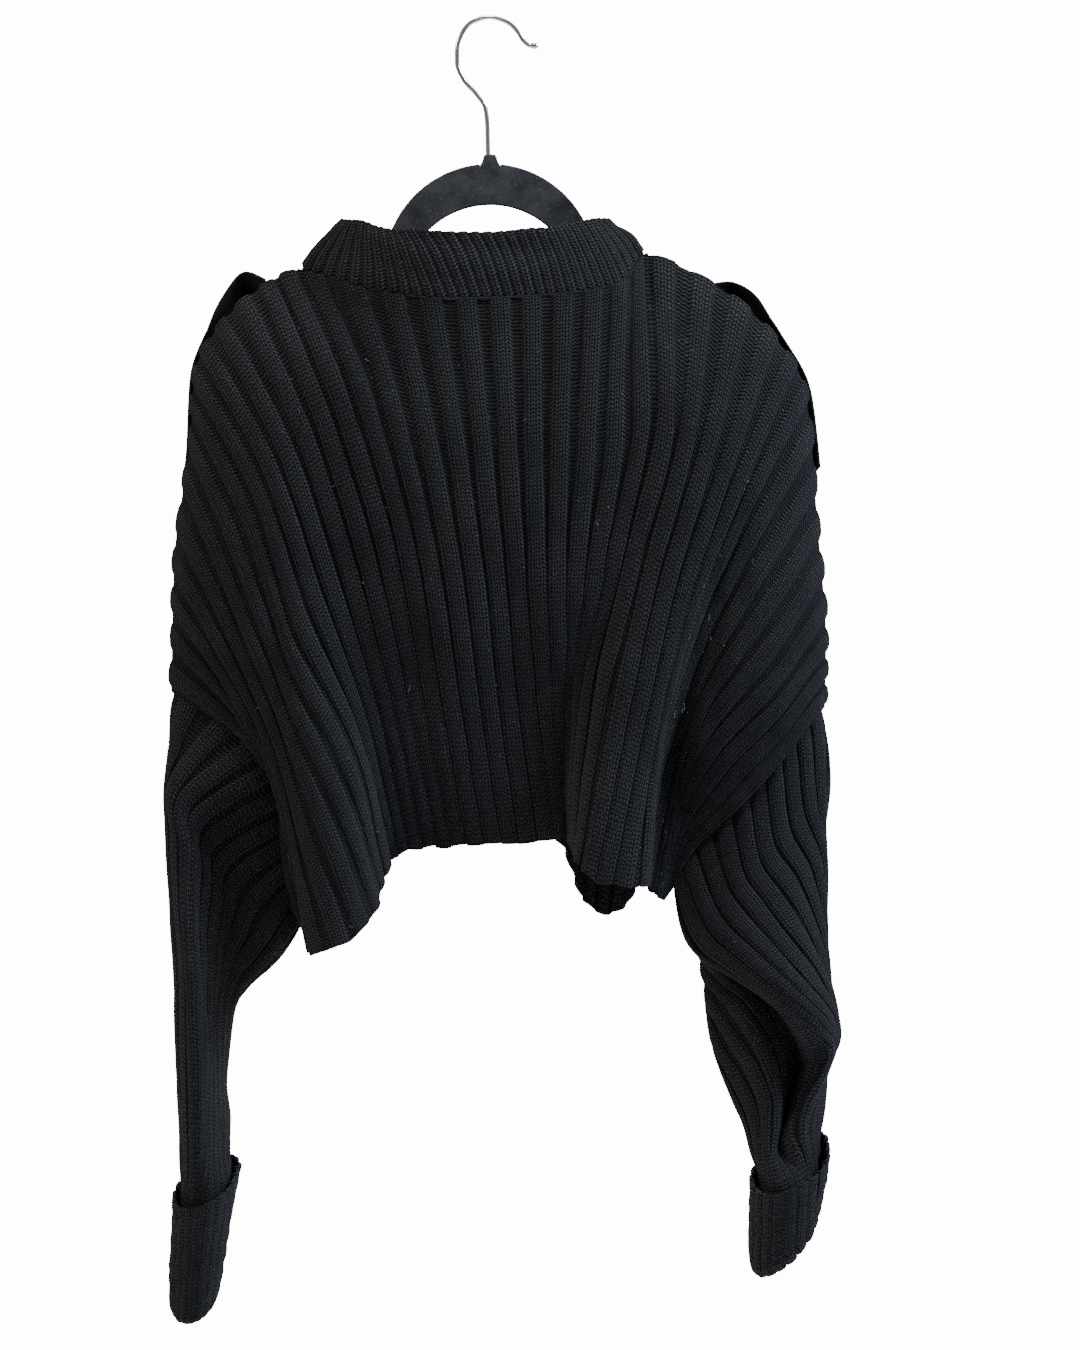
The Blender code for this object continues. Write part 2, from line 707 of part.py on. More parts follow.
def make_tab(name, table):
    """A smooth woven strap over the front's own surface beside the shoulder seam."""
    top = front_top()
    mesh = bmesh.new()
    loops = []
    first, last = table[0][0], table[-1][0]
    for step in range(TAB_STEPS + 1):
        rib = first + (last - first) * step / TAB_STEPS
        (lift,) = read_table(table, rib)
        upper = []
        lower = []
        for place in (TAB_TOP, TAB_TOP + TAB_WIDTH / 2, TAB_TOP + TAB_WIDTH):
            here = panel_point(top, FRONT_BODY, FRONT_HEM, 1, rib, place)
            across = panel_point(top, FRONT_BODY, FRONT_HEM, 1, rib + 0.2, place) - here
            along = panel_point(top, FRONT_BODY, FRONT_HEM, 1, rib, place + 0.01) - here
            out = across.cross(along).normalized()
            upper.append(here + out * (lift + TAB_THICKNESS))
            lower.append(here + out * lift)
        loops.append([mesh.verts.new(point * MM) for point in upper + lower[::-1]])
    for before, after in zip(loops, loops[1:]):
        for index in range(len(before)):
            following = (index + 1) % len(before)
            mesh.faces.new((before[index], before[following], after[following], after[index]))
    mesh.faces.new(loops[0])
    mesh.faces.new(loops[-1][::-1])
    bmesh.ops.recalc_face_normals(mesh, faces=mesh.faces)
    return finished(name, mesh, webbing)


def on_circle(centre, radius, degrees):
    """The x, z of a point of a circle about a centre on the middle line."""
    angle = math.radians(degrees)
    return radius * math.cos(angle), centre + radius * math.sin(angle)


def hanger_half():
    """Half of the hanger's outline, from the nub round to the middle of the bar.

    Each row is an outer point and the point of the opening that faces it."""
    rows = [
        ((0, NUB_TOP), on_circle(ARCH_OPENING_CENTRE, ARCH_OPENING_RADIUS, 90)),
        (
            (NUB_HALF_WIDTH, NUB_TOP),
            on_circle(ARCH_OPENING_CENTRE, ARCH_OPENING_RADIUS, (90 + OPENING_START) / 2),
        ),
    ]
    for step in range(ARCH_STEPS):
        outer = on_circle(ARCH_CENTRE, ARCH_RADIUS, ARCH_START - ARCH_STEP * step)
        inner_angle = OPENING_START - OPENING_STEP * step
        rows.append((outer, on_circle(ARCH_OPENING_CENTRE, ARCH_OPENING_RADIUS, inner_angle)))
    rows += [((x, z), (inner_x, inner_z)) for x, z, inner_x, inner_z in HANGER_ARM]
    return rows


def make_hanger_body():
    half = hanger_half()
    mirrored = [((-outer[0], outer[1]), (-inner[0], inner[1])) for outer, inner in half[-2:0:-1]]
    loop = half + mirrored
    mesh = bmesh.new()
    rings = []
    for outer, inner in loop:
        ring = []
        for (x, z), side in ((outer, -1), (outer, 1), (inner, 1), (inner, -1)):
            ring.append(mesh.verts.new(Vector((x, side * HANGER_THICKNESS / 2, z)) * MM))
        rings.append(ring)
    for index, ring in enumerate(rings):
        after = rings[(index + 1) % len(rings)]
        for corner in range(4):
            following = (corner + 1) % 4
            mesh.faces.new((ring[corner], ring[following], after[following], after[corner]))
    bmesh.ops.recalc_face_normals(mesh, faces=mesh.faces)
    piece = finished("hanger_body", mesh, flock)
    bevel = piece.modifiers.new("soft edges", "BEVEL")
    bevel.width = HANGER_CHAMFER * MM
    bevel.segments = 1
    bevel.limit_method = "ANGLE"
    bevel.angle_limit = math.radians(60)
    return piece


def make_hook():
    """The bent wire, read from a smooth curve through its route."""
    points = [Vector((x, 0, z)) for x, z in HOOK_ROUTE]
    points = [points[0] * 2 - points[1]] + points + [points[-1] * 2 - points[-2]]
    path = []
    for index in range(1, len(points) - 2):
        before, here, after, beyond = points[index - 1 : index + 3]
        for step in range(HOOK_STEPS):
            t = step / HOOK_STEPS
            path.append(
                0.5
                * (
                    here * 2
                    + (after - before) * t
                    + (before * 2 - here * 5 + after * 4 - beyond) * t**2
                    + (here * 3 - before - after * 3 + beyond) * t**3
                )
            )
    path.append(points[-2])
    curve = bpy.data.curves.new("hanger_hook", "CURVE")
    curve.dimensions = "3D"
    curve.bevel_depth = WIRE / 2 * MM
    curve.bevel_resolution = 2
    curve.use_fill_caps = True
    spline = curve.splines.new("POLY")
    spline.points.add(len(path) - 1)
    for point, place in zip(spline.points, path):
        point.co = (*(place * MM), 1)
    for point in spline.points[-3:-1]:
        point.radius = HOOK_TIP_BEAD / WIRE
    spline.points[-1].radius = HOOK_END_SHARE
    hook = bpy.data.objects.new("hanger_hook", curve)
    sweater.objects.link(hook)
    curve.materials.append(steel)
    return hook


for leftover in list(bpy.data.objects):
    bpy.data.objects.remove(leftover)

sweater = bpy.data.collections.new("cropped sweater on a hanger")
bpy.context.scene.collection.children.link(sweater)

yarn = make_finish("black wool knit", (0.011, 0.011, 0.013), 0.95)
webbing = make_finish("black woven tab", (0.014, 0.015, 0.013), 0.8)
flock = make_finish("black flock", (0.02, 0.02, 0.021), 0.95)
steel = make_finish("bright steel wire", (0.75, 0.75, 0.75), 0.18, 1.0)

panels = seat_panels()
make_collar(panels)
left_rings = left_sleeve_rings()
right_rings = right_sleeve_rings()
make_sleeve("sleeve_left", panels, 0, left_rings, LEFT_CUFF, 0.0, 1, LEFT_END_LIFT, 0.0)
make_sleeve(
    "sleeve_right",
    panels,
    RIBS,
    right_rings,
    RIGHT_CUFF,
    RIGHT_CUFF_START,
    -1,
    RIGHT_END_LIFT,
    CUFF_DENT,
)
ribbed_wall("back", *panels[0], False, yarn)
ribbed_wall("front", *panels[1], False, yarn)
make_cuff("cuff_left", LEFT_CUFF, 0.0, 1)
make_cuff("cuff_right", RIGHT_CUFF, RIGHT_CUFF_START, -1)
make_tab("shoulder_tab_left", LEFT_TAB)
make_tab("shoulder_tab_right", RIGHT_TAB)
make_hanger_body()
make_hook()
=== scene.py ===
# %% [markdown]
# # A cropped rib-knit sweater on a hanger
# The sweater hangs back outwards from a flocked hanger with a wire hook. The packed
# model gives its size and place. Each knitted panel here is drawn again as a fine
# cloth over the same form, because ribs, stitches and soft edges need more points than
# a collision solid has.

import math

import bmesh
import bpy
import numpy as np
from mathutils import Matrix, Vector


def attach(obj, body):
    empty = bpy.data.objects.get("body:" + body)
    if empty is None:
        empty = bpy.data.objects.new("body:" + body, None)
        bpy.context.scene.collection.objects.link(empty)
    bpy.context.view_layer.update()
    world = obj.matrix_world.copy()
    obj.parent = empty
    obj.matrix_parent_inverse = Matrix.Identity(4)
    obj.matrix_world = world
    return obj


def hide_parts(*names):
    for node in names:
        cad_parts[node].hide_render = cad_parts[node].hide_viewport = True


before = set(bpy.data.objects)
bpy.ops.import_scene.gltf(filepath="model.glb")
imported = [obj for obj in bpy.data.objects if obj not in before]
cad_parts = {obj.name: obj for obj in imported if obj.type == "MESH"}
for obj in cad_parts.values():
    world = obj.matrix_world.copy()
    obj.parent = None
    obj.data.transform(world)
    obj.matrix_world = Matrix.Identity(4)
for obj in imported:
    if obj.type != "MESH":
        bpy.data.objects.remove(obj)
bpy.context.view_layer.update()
print("nodes in the frame:", sorted(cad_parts))

# %% [markdown]
# ## Tables of the cloth
# A knitted panel is easiest to describe in its own terms: which rib, and how far down
# it. Each row below is a rib and where it lies, in millimetres, with +X to the right,
# +Z up and the back facing -Y. Smooth curves that never overshoot join the rows.

# %% Sizes and tables
MM = 0.001
RIBS = 39  # ribs across the back, and across the front
NECK_RIBS = (14, 25)  # the ribs between which the neck lies
ROWS = 11  # steps down a panel
ARMHOLE_ROWS = 10  # the steps that a sleeve is sewn to; the last one is the side seam

# shoulder seam and neck, from the left armhole to the right one: rib, x, z, out
BACK_TOP = [
    (0, -226, -480, 0),
    (3.5, -223.5, -386, 0),
    (6.5, -212, -298, 0),
    (8.5, -209, -253, 0),
    (10.5, -191, -218, 0),
    (12.5, -159, -190, 0),
    (14, -136, -180, 0),
    (16, -81, -195, 24),
    (18, -29, -202, 34),
    (21, 41, -199, 34),
    (23.5, 91, -190, 22),
    (25, 111, -169, 0),
    (26.5, 152, -186, 0),
    (28.5, 199, -224, 0),
    (30.5, 223, -265, 0),
    (33.5, 232, -361, 0),
    (36.5, 238, -443, 0),
    (39, 237, -491, 0),
]
FRONT_NECK = [
    (14, -136, -180, 0),
    (16, -95, -212, 26),
    (19.5, -12, -236, 40),
    (23, 75, -208, 26),
    (25, 111, -169, 0),
]
# where the ribs pass a quarter, half and three quarters of the way down:
# rib, x at each, and how far out of the middle plane at each
BACK_BODY = [
    (0, -167, -145, -141, 16, 6, 0),
    (3.5, -188, -154, -136, 26, 27, 32),
    (5.5, -184, -151, -119, 28, 32, 46),
    (7.5, -170, -143, -103, 30, 33, 38),
    (9.5, -154, -124, -91, 33, 32, 24),
    (13.5, -102, -72, -52, 38, 34, 22),
    (17.5, -25, -11, 0, 41, 36, 24),
    (21.5, 50, 48, 50, 41, 35, 20),
    (24.5, 108, 89, 69, 40, 36, 26),
    (26.5, 141, 114, 91, 38, 38, 42),
    (29.5, 175, 141, 119, 34, 36, 38),
    (32.5, 187, 149, 128, 30, 24, 10),
    (35.5, 204, 158, 134, 26, 20, 6),
    (39, 211, 181, 145, 18, 14, 4),
]
FRONT_BODY = [
    (0, -167, -145, -141, 20, 20, 16),
    (3.5, -188, -154, -136, 30, 36, 44),
    (9, -158, -129, -94, 36, 44, 52),
    (13.5, -102, -72, -52, 38, 44, 48),
    (19, 3, 11, 16, 40, 44, 44),
    (24.5, 108, 89, 74, 38, 44, 50),
    (27.5, 153, 124, 100, 36, 44, 54),
    (32.5, 187, 149, 124, 32, 38, 40),
    (35.5, 204, 158, 134, 30, 34, 32),
    (39, 211, 181, 145, 24, 26, 20),
]
# hems: rib, x, z, out; the back's has a fold at either side that stands out of it
BACK_HEM = [
    (0, -122, -660, -4),
    (2, -129, -664, 20),
    (3, -127, -666, 42),
    (4.5, -105, -660, 54),
    (5.5, -91, -650, 50),
    (6.5, -82, -635, 38),
    (7.5, -79, -619, 22),
    (9.5, -69, -598, 6),
    (13.5, -33, -590, 8),
    (17.5, 14, -588, 10),
    (21.5, 57, -585, 4),
    (23.5, 60, -591, 18),
    (25.5, 64, -602, 38),
    (26.5, 71, -612, 46),
    (28.5, 94, -618, 48),
    (29.5, 109, -617, 40),
    (31, 116, -618, 22),
    (33, 118, -621, 8),
    (36, 120, -625, 3),
    (39, 122, -627, -3),
]
FRONT_HEM = [
    (0, -122, -660, 4),
    (2, -126, -656, 30),
    (5, -111, -632, 52),
    (9, -75, -597, 56),
    (13.5, -36, -585, 46),
    (19, 21, -580, 42),
    (22.5, 52, -590, 46),
    (24, 62, -615, 54),
    (25.5, 71, -635, 60),
    (27.5, 91, -641, 60),
    (28.5, 99, -626, 52),
    (30, 107, -620, 46),
    (33, 115, -623, 36),
    (36, 120, -626, 22),
    (39, 122, -627, 3),
]
# where the side seams meet the sleeves: x, y, z
UNDERARM = {0: (-135, 3, -642), RIBS: (132, 0, -612)}
highest, lowest = max(row[2] for row in BACK_TOP), min(row[2] for row in BACK_HEM)
print("the back's tables reach from z %d down to %d mm" % (highest, lowest))

# %% [markdown]
# ## Reading the tables
# A spline through uneven rows often swings past them, which would put bulges in the
# cloth. The curve below takes its slope from the harmonic mean of the two sides
# instead, and never swings past a row.

# %% Curve helpers


def through(places, values, at):
    """Values, one row for each place, read at other places along a smooth curve."""
    places = np.asarray(places, float)
    values = np.asarray(values, float)
    flat = values.reshape(len(places), -1)
    steps = np.diff(places)[:, None]
    rises = np.diff(flat, axis=0) / steps
    slopes = np.zeros_like(flat)
    slopes[0], slopes[-1] = rises[0], rises[-1]
    before, after = rises[:-1], rises[1:]
    near = 2 * steps[1:] + steps[:-1]
    far = steps[1:] + 2 * steps[:-1]
    same = before * after > 0
    safe_before = np.where(same, before, 1)
    safe_after = np.where(same, after, 1)
    mean = (near + far) / (near / safe_before + far / safe_after)
    slopes[1:-1] = np.where(same, mean, 0)
    at = np.clip(np.asarray(at, float), places[0], places[-1])
    index = np.clip(np.searchsorted(places, at, "right") - 1, 0, len(places) - 2)
    step = steps[index]
    t = ((at - places[index]) / step[:, 0])[:, None]
    low = (1 + 2 * t) * (1 - t) ** 2 * flat[index] + t * (1 - t) ** 2 * step * slopes[index]
    high = t * t * (3 - 2 * t) * flat[index + 1] + t * t * (t - 1) * step * slopes[index + 1]
    return (low + high).reshape((len(at),) + values.shape[1:])


def read_table(table, at):
    """All columns of a table at many places along its first column."""
    table = np.asarray(table, float)
    return through(table[:, 0], table[:, 1:], at)


def closed_curve(stations, count, at):
    """A smooth closed curve through (place, point) stations, read at many places."""
    places = np.array([place for place, _ in stations], float)
    points = np.array([point for _, point in stations], float)
    places = np.concatenate([places[-2:] - count, places, places[:3] + count])
    points = np.concatenate([points[-2:], points, points[:3]])
    at = np.asarray(at, float) % count
    index = np.searchsorted(places, at, "right") - 1
    p0, p1, p2, p3 = (places[index + k] for k in (-1, 0, 1, 2))
    v0, v1, v2, v3 = (points[index + k] for k in (-1, 0, 1, 2))
    t = ((at - p1) / (p2 - p1))[:, None]
    start = (v2 - v0) * ((p2 - p1) / (p2 - p0))[:, None]
    end = (v3 - v1) * ((p2 - p1) / (p3 - p1))[:, None]
    low = v1 * ((1 + 2 * t) * (1 - t) ** 2) + start * (t * (1 - t) ** 2)
    return low + v2 * (t * t * (3 - 2 * t)) + end * (t * t * (t - 1))


def smoothstep(low, high, value):
    t = np.clip((value - low) / (high - low), 0, 1)
    return t * t * (3 - 2 * t)


def unit(vectors):
    """The same directions, each of length one."""
    return vectors / np.maximum(np.linalg.norm(vectors, axis=-1, keepdims=True), 1e-9)


peak = through([0, 1, 2], [0, 1, 1], np.linspace(0, 2, 21)).max()
print("a curve through 0, 1 and 1 rises to %.2f and no higher" % peak)


# %% [markdown]
# ## The body's surface
# The back and front share their shoulder line, side seams and armholes. A point on a
# panel is its rib, counted from the left sleeve, and how far down that rib it lies.

# %% Panel surface
SHOULDER_ROLL = 10.0  # how far the cloth bulges just below the shoulder seam
ROLL_LENGTH = 0.035  # the share of the panel in which it does so


def front_top():
    left = [row for row in BACK_TOP if row[0] < NECK_RIBS[0]]
    right = [row for row in BACK_TOP if row[0] > NECK_RIBS[1]]
    return left + FRONT_NECK + right


PANELS = {-1: (BACK_TOP, BACK_BODY, BACK_HEM), 1: (front_top(), FRONT_BODY, FRONT_HEM)}


def raw_panel(facing, ribs, downs):
    top, body, hem = (read_table(table, ribs) for table in PANELS[facing])
    shoulder = smoothstep(0, 3, np.maximum(NECK_RIBS[0] - ribs, ribs - NECK_RIBS[1]))
    roll = SHOULDER_ROLL * shoulder
    stations = (0, 0.25, 0.5, 0.75, 1)
    x = np.stack([top[:, 0], body[:, 0], body[:, 1], body[:, 2], hem[:, 0]])
    out = np.stack([top[:, 2] + roll, body[:, 3], body[:, 4], body[:, 5], hem[:, 2]])
    x = through(stations, x, downs)
    out = through(stations, out, downs) - np.outer(np.exp(-downs / ROLL_LENGTH), roll)
    z = top[:, 1] + np.outer(downs, hem[:, 1] - top[:, 1])
    return np.stack([x, facing * out, z], axis=-1)


def panel_surface(facing, ribs, downs):
    """Points of a panel: a row for each place down it, a column for each rib place."""
    ribs = np.asarray(ribs, float)
    downs = np.asarray(downs, float)
    points = raw_panel(facing, ribs, downs)
    for edge in (0, RIBS):
        near = np.clip(1 - np.abs(ribs - edge), 0, 1)
        rows = np.array([ARMHOLE_ROWS - 1, ARMHOLE_ROWS, ROWS]) / ROWS
        own = raw_panel(facing, np.array([edge], float), rows)[:, 0]
        shared = raw_panel(-1, np.array([edge], float), rows)[:, 0]
        target = np.array([own[0], UNDERARM[edge], shared[2]])
        shift = np.stack([np.interp(downs, rows, (target - own)[:, axis]) for axis in range(3)], -1)
        shift[downs < rows[0]] = 0
        points += shift[:, None, :] * near[None, :, None]
    return points


back_probe = panel_surface(-1, [19.5], [0, 1])[:, 0]
print("centre back, shoulder line to hem: %.0f mm" % np.linalg.norm(back_probe[0] - back_probe[1]))

# %% [markdown]
# ## From a surface to knitted cloth
# A rib is three columns of knit stitches that stand out, then three of purl that sink
# back. The ribs are real relief in the mesh. Single stitches are too many for that, so
# the material raises them later from the UV map, which counts ribs across and
# millimetres down.

# %% Relief and creases

RIB_PLACES = np.array([0, 0.07, 0.13, 0.2, 0.28, 0.38, 0.5, 0.62, 0.72, 0.8, 0.87, 0.93])
KNIT_WIDTH = 10.2  # the three knit columns keep this width while the purl ones fold away
KNIT_SHARES = (0.5, 0.72)  # the least and the most of a rib that they take
CREST = 2.3  # how far a rib stands out
WAVES = 14
WAVE_SUM = 3.8  # about the square root of WAVES, which brings their sum to one unit
PITCH_REACH = 9  # points on either side over which a rib's width is smoothed
RIBS_DOWN = 26  # a panel is about as long as this many ribs are wide
FOLD_FADE = 0.7  # how soon a fold fades towards its ends


def rib_columns(count, places=RIB_PLACES, closed=False):
    columns = (np.arange(count)[:, None] + places[None, :]).ravel()
    return columns if closed else np.append(columns, count)


def surface_normals(points, closed, outward):
    """Unit normals of a grid of points; outward is 1 or -1."""
    if closed:
        wide = np.concatenate([points[:, -2:], points, points[:, :2]], axis=1)
        across = np.gradient(wide, axis=1)[:, 2:-2]
    else:
        across = np.gradient(points, axis=1)
    along = np.gradient(points, axis=0)
    return unit(np.cross(across, along) * outward)


def wander(rng, rows, columns, scale_rows, scale_columns):
    """Soft random waves over a grid, about one unit high."""
    field = np.zeros((rows, columns))
    v = np.linspace(0, 1, rows)[:, None]
    u = np.linspace(0, 1, columns)[None, :]
    for _ in range(WAVES):
        fv = rng.uniform(-scale_rows, scale_rows)
        fu = rng.uniform(-scale_columns, scale_columns)
        field += np.sin(2 * math.pi * (fv * v + fu * u) + rng.uniform(0, 6.28))
    return field / WAVE_SUM


def creased(ribs, downs, creases):
    """Height of the listed folds: each runs between two places and has a width in ribs."""
    u = ribs[None, :]
    v = downs[:, None]
    height = np.zeros((len(downs), len(ribs)))
    for u0, v0, u1, v1, width, rise in creases:
        du, dv = u1 - u0, (v1 - v0) * RIBS_DOWN
        across, down = u - u0, (v - v0) * RIBS_DOWN
        inside = np.clip((across * du + down * dv) / (du * du + dv * dv), 0, 1)
        away = (across - inside * du) ** 2 + (down - inside * dv) ** 2
        fade = np.sin(math.pi * inside) ** FOLD_FADE
        height += rise * fade * np.exp(-away / width**2)
    return height


def rib_pitch(points, columns, closed):
    """The width of a rib in millimetres at each point, smoothed over its neighbours."""
    step = np.gradient(columns)
    if closed:
        wide = np.concatenate([points[:, -1:], points, points[:, :1]], axis=1)
        gap = np.linalg.norm(np.diff(wide, axis=1), axis=-1)
        gap = (gap[:, 1:] + gap[:, :-1]) / 2
    else:
        gap = np.linalg.norm(np.gradient(points, axis=1), axis=-1)
    pitch = gap / np.abs(step)[None, :]
    kernel = np.hanning(2 * PITCH_REACH + 1)
    kernel /= kernel.sum()
    padded = np.pad(pitch, ((0, 0), (PITCH_REACH, PITCH_REACH)), mode="wrap" if closed else "edge")
    return np.stack([np.convolve(row, kernel, "valid") for row in padded])


def knit_place(columns, pitch, knit_width):
    """Where each point lies in its rib's stitches, from 0 to 1; knit is 0.25 to 0.75."""
    share = np.broadcast_to((columns % 1.0)[None, :], pitch.shape)
    knit = np.clip(knit_width / pitch, *KNIT_SHARES)
    purl = (1 - knit) / 2
    start = share / purl * 0.25
    end = 1 - (1 - share) / purl * 0.25
    middle = 0.25 + (share - purl) / knit * 0.5
    return np.where(share < purl, start, np.where(share > 1 - purl, end, middle))


def knit_relief(place, pitch, crest, knit_width, rng):
    """How far each point stands out, and how deep in a closed groove it lies, for the painted
    groove shade.
    """
    shape = smoothstep(0.14, 0.32, place) * (1 - smoothstep(0.68, 0.86, place))
    dome = 0.78 + 0.22 * np.sin(math.pi * np.clip((place - 0.2) / 0.6, 0, 1))
    height = crest * np.clip(pitch / 10.0, 0.35, 1.0)
    uneven = 1 + 0.16 * wander(rng, *pitch.shape, 9, 14)
    # the groove's painted shade fills the purl trough, and is deepest where the ribs are pressed
    # close together
    closed_up = 0.25 + 0.75 * (1 - smoothstep(1.15, 1.85, pitch / knit_width))
    hidden = 1 - smoothstep(0.17, 0.33, place) * (1 - smoothstep(0.67, 0.83, place))
    return height * uneven * shape * dome, hidden * closed_up


print("relief helpers ready, %d points across each rib" % len(RIB_PLACES))

# %% [markdown]
# ## Making the cloth
# The grid of points becomes a mesh with a UV map, and Solidify gives it its thickness
# towards the inside, so that hems and rims show a real edge.

# %% Cloth maker
CLOTH = 2.3  # thickness of the cloth between its ribs
SHARP_EDGE = 70  # degrees above which an edge of cloth stays sharp


def add_object(name, data):
    piece = bpy.data.objects.new(name, data)
    bpy.context.scene.collection.objects.link(piece)
    return piece


def select_only(piece):
    bpy.ops.object.select_all(action="DESELECT")
    piece.select_set(True)
    bpy.context.view_layer.objects.active = piece


def make_cloth(name, base, normals, columns, closed, outward, look, material, thickness=CLOTH):
    """A cloth mesh from base points in millimetres, their normals and its look.

    look holds the height above the base, the stitch place in the rib and the groove depth, which
    the material paints as shade."""
    height, place, groove_shade = look
    points = base + normals * height[..., None]
    rows, count = points.shape[:2]
    index = np.arange(rows * count).reshape(rows, count)
    across = np.floor(columns)[None, :] + place
    if closed:
        index = np.concatenate([index, index[:, :1]], axis=1)
        across = np.concatenate([across, across[:, :1] + round(columns[-1] + 0.5)], axis=1)
    a, b = index[:-1, :-1].ravel(), index[:-1, 1:].ravel()
    c, d = index[1:, 1:].ravel(), index[1:, :-1].ravel()
    faces = np.stack([a, d, c, b] if outward > 0 else [a, b, c, d], axis=1)
    mesh = bpy.data.meshes.new(name)
    mesh.from_pydata((points.reshape(-1, 3) * MM).tolist(), [], faces.tolist())
    steps = np.linalg.norm(np.diff(base, axis=0), axis=-1).mean(axis=1)
    length = np.concatenate([[0], np.cumsum(steps)])
    down = np.broadcast_to(length[:, None], across.shape)
    first, last = slice(None, -1), slice(1, None)
    corners = [(first, first), (first, last), (last, last), (last, first)]
    order = [0, 3, 2, 1] if outward > 0 else [0, 1, 2, 3]
    uv = [np.stack([across[corners[k]].ravel(), down[corners[k]].ravel()], -1) for k in order]
    layer = mesh.uv_layers.new(name="knit")
    layer.data.foreach_set("uv", np.stack(uv, axis=1).reshape(-1).astype(np.float32))
    # the groove depth is kept for the material, which paints shade with it
    depth = mesh.attributes.new("groove_shade", "FLOAT", "POINT")
    depth.data.foreach_set("value", groove_shade.reshape(-1).astype(np.float32))
    mesh.materials.append(material)
    piece = add_object(name, mesh)
    select_only(piece)
    shell = piece.modifiers.new("cloth", "SOLIDIFY")
    shell.thickness = thickness * MM
    shell.offset = -1
    bpy.ops.object.modifier_apply(modifier=shell.name)
    bpy.ops.object.shade_smooth_by_angle(angle=math.radians(SHARP_EDGE))
    area = sum(face.area for face in piece.data.polygons) / 2
    print(name, "%d faces, one side %.3f m2" % (len(piece.data.polygons), area))
    return piece


def knit_look(base, columns, closed, crest, rng, knit_width=KNIT_WIDTH):
    """The height, stitch place and groove depth of ribs knitted over a base surface; the groove
    depth sets painted shade.
    """
    pitch = rib_pitch(base, columns, closed)
    place = knit_place(columns, pitch, knit_width)
    height, groove_shade = knit_relief(place, pitch, crest, knit_width, rng)
    return [height, place, groove_shade]


def declare_cloth(piece, node):
    """Hide the solid that the piece stands for, and hang the piece on the root body."""
    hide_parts(node)
    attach(piece, "root")


print("cloth is %.1f mm thick between ribs that stand out %.1f mm" % (CLOTH, CREST))


# %% [markdown]
# ## Black wool
# Charcoal yarn is almost black, but its loose fibres catch light at grazing angles, so
# the cloth needs sheen as well as a dark colour. The stitches are built from the UV
# map: a knit column is a chain of slanted pairs, a purl column a ladder of short bars.

# %% Node helpers


class Nodes:
    """Short calls for the nodes of one material."""

    def __init__(self, name, colour, roughness, specular=0.5):
        self.material = bpy.data.materials.new(name)
        self.material.use_nodes = True
        self.tree = self.material.node_tree
        self.shader = self.tree.nodes["Principled BSDF"].inputs
        self.feed(self.shader["Base Color"], colour)
        self.feed(self.shader["Roughness"], roughness)
        self.feed(self.shader["Specular IOR Level"], specular)

    def feed(self, socket, value):
        """Put a number or a colour into a socket, or link another node's output to it."""
        if isinstance(value, (int, float)):
            socket.default_value = value
        elif isinstance(value, tuple):
            socket.default_value = (*value, 1)
        else:
            self.tree.links.new(value, socket)

    def new(self, kind, **inputs):
        """A node of this kind, with its inputs filled in by name."""
        node = self.tree.nodes.new("ShaderNode" + kind)
        for name, value in inputs.items():
            self.feed(node.inputs[name], value)
        return node

    def math(self, operation, *values):
        node = self.new("Math")
        node.operation = operation
        for socket, value in zip(node.inputs, values):
            self.feed(socket, value)
        return node.outputs[0]

    def knit_coordinates(self):
        """The UV map of the cloth: ribs across, and millimetres down."""
        node = self.new("UVMap")
        node.uv_map = "knit"
        return self.new("SeparateXYZ", Vector=node.outputs[0]).outputs

    def place(self):
        return self.new("TexCoord").outputs["Object"]

    def attribute(self, name):
        node = self.new("Attribute")
        node.attribute_name = name
        return node.outputs["Fac"]

    def noise(self, vector, scale, detail=3, roughness=0.55):
        node = self.new("TexNoise", Scale=scale, Detail=detail, Roughness=roughness, Vector=vector)
        return node.outputs["Fac"]

    def specks(self, vector, scale, detail, roughness, least):
        """1 in the small spots where a noise is above least, and 0 elsewhere."""
        return self.math("GREATER_THAN", self.noise(vector, scale, detail, roughness), least)

    def ramp(self, value, stops):
        node = self.new("ValToRGB", Fac=value)
        elements = node.color_ramp.elements
        while len(elements) < len(stops):
            elements.new(0.5)
        for element, (place, colour) in zip(elements, stops):
            element.position = place
            element.color = (*colour, 1)
        return node.outputs["Color"]

    def mix(self, factor, first, second):
        node = self.tree.nodes.new("ShaderNodeMix")
        node.data_type = "RGBA"
        # a Mix node keeps its colour sockets at places 6 and 7, and its colour output at 2
        for place, value in ((0, factor), (6, first), (7, second)):
            self.feed(node.inputs[place], value)
        return node.outputs[2]

    def bump(self, height, distance, strength=1.0, normal=None):
        node = self.new("Bump", Distance=distance, Strength=strength, Height=height)
        if normal is not None:
            self.feed(node.inputs["Normal"], normal)
        return node.outputs["Normal"]

    def finish(
        self, colour=None, normal=None, sheen=0.0, sheen_roughness=0.5, sheen_tint=(1, 1, 1)
    ):
        """The material, with what its nodes worked out linked to the shader."""
        if colour is not None:
            self.feed(self.shader["Base Color"], colour)
        if normal is not None:
            self.feed(self.shader["Normal"], normal)
        self.feed(self.shader["Sheen Weight"], sheen)
        self.feed(self.shader["Sheen Roughness"], sheen_roughness)
        self.feed(self.shader["Sheen Tint"], sheen_tint)
        return self.material


def grey(value):
    return (value, value, value)


print("node helpers ready")

# %% Knit material

WALES = 6  # columns of stitches in a rib and its trough
COLLAR_WALES = 2
COURSE = 2.7  # height of a stitch in millimetres


